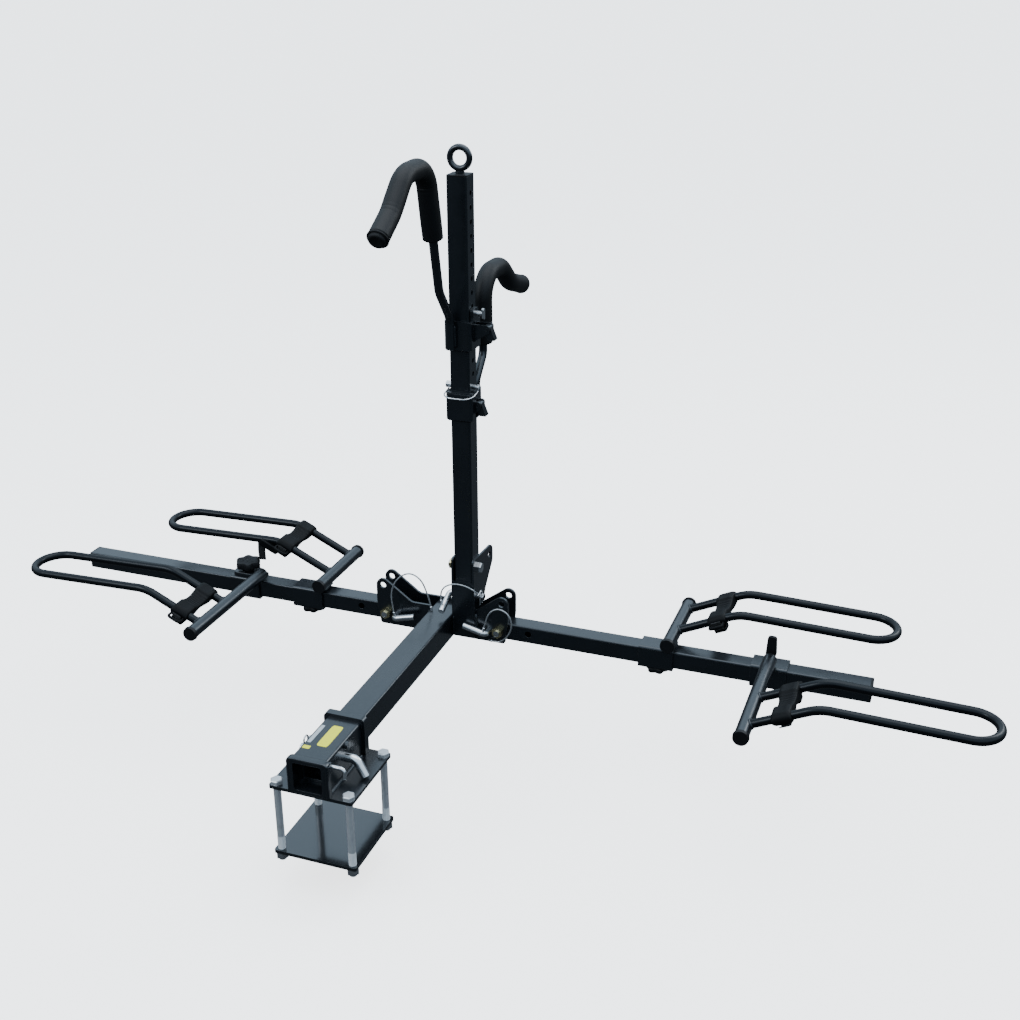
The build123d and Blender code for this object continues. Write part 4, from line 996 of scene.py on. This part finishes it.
# Stickers on the receiver, without any print
def sticker(name, low, high, material):
    """Thin film with rounded corners: a flat superellipse |x|^8 + |y|^8 = 1 with a lifted face."""
    centre = (np.array(low) + np.array(high)) / 2
    half = (np.array(high) - np.array(low)) / 2
    angle = np.linspace(0, 2 * pi, 72, endpoint=False)
    x = half[0] * rounder(np.cos(angle), 0.25)
    y = half[1] * rounder(np.sin(angle), 0.25)
    rings = []
    for share, rise in ((1.0, 0.0), (1.0, 0.8), (0.985, 1.0), (0.5, 1.0), (0.001, 1.0)):
        rings.append(np.stack([centre[0] + share * x, centre[1] + share * y,
                               np.full_like(x, RECEIVER_TOP + rise * FILM_THICKNESS)], -1))
    return crease(outward(skin(name, np.array(rings), material, "frame")), 30)


sticker("receiver_sticker_yellow", (-8, -30), (12, 33), YELLOW_FILM)
sticker("receiver_sticker_pale", (-27, -26), (-20, 28), PALE_FILM)
sticker("receiver_sticker_small", (-27, -44), (-14, -35), YELLOW_FILM)


# Floor, backdrop and soft studio light
FLOOR_Z = -0.2
FLOOR_HALF = 30.0
FLOOR_DARK = (0.02, 0.022, 0.024)
FLOOR_PALE = (0.8, 0.8, 0.8)
FLOOR_GLOW = 2.2
SKY_SEEN = 4.0
SKY_BRIGHT = 1.5
SKY_HORIZON = 0.04
SKY_TINT = (0.66, 0.84, 1.0)
WHITE = (1.0, 1.0, 1.0)
floor_mesh = bpy.data.meshes.new("floor")
floor_corners = [(-FLOOR_HALF, -FLOOR_HALF, FLOOR_Z), (FLOOR_HALF, -FLOOR_HALF, FLOOR_Z),
                 (FLOOR_HALF, FLOOR_HALF, FLOOR_Z), (-FLOOR_HALF, FLOOR_HALF, FLOOR_Z)]
floor_mesh.from_pydata(floor_corners, [], [(0, 1, 2, 3)])
floor = bpy.data.objects.new("floor", floor_mesh)
bpy.context.scene.collection.objects.link(floor)
floor_material, floor_tree, floor_shader = blank("pale_floor", roughness=0.85, emission_color=(*WHITE, 1.0))
seen = add(floor_tree, "LightPath").outputs["Is Camera Ray"]
floor_shade = between(floor_tree, seen, FLOOR_DARK, FLOOR_PALE)
floor_tree.links.new(floor_shade, floor_shader.inputs["Base Color"])
floor_glow = math(floor_tree, "MULTIPLY", seen, FLOOR_GLOW)
floor_tree.links.new(floor_glow, floor_shader.inputs["Emission Strength"])
floor.data.materials.append(floor_material)

# The sky is white where the camera sees it, and to the rack it is bright overhead and dim at the horizon
world = bpy.data.worlds.new("studio")
world.use_nodes = True
sky = world.node_tree
height = add(sky, "SeparateXYZ", {0: add(sky, "TexCoord").outputs["Generated"]}).outputs["Z"]
dome = add(sky, "MapRange", {"Value": height, "From Min": 0.05, "From Max": 0.4,
                             "To Min": SKY_HORIZON, "To Max": SKY_BRIGHT}).outputs[0]
seen = add(sky, "LightPath").outputs["Is Camera Ray"]
strength = spread(sky, seen, 0.0, SKY_SEEN)
hidden = math(sky, "MULTIPLY", dome, math(sky, "SUBTRACT", 1.0, seen))
sky.links.new(math(sky, "ADD", strength, hidden), sky.nodes["Background"].inputs["Strength"])
sky.links.new(between(sky, seen, SKY_TINT, WHITE), sky.nodes["Background"].inputs["Color"])
bpy.context.scene.world = world


def soft_light(name, position, target, size, power):
    """Square area light that looks at the target."""
    light = bpy.data.lights.new(name, "AREA")
    light.size = size
    light.energy = power
    lamp = bpy.data.objects.new(name, light)
    lamp.location = position
    lamp.rotation_mode = "QUATERNION"
    lamp.rotation_quaternion = (Vector(target) - Vector(position)).to_track_quat("-Z", "Y")
    bpy.context.scene.collection.objects.link(lamp)


soft_light("overhead", (0.3, 0.6, 3.2), (0.0, 0.4, 0.0), 3.0, 60.0)
soft_light("key", (-2.4, -2.2, 2.6), (0.0, 0.4, 0.2), 1.6, 40.0)
soft_light("rim", (2.2, 2.8, 2.2), (0.0, 0.4, 0.2), 1.4, 30.0)
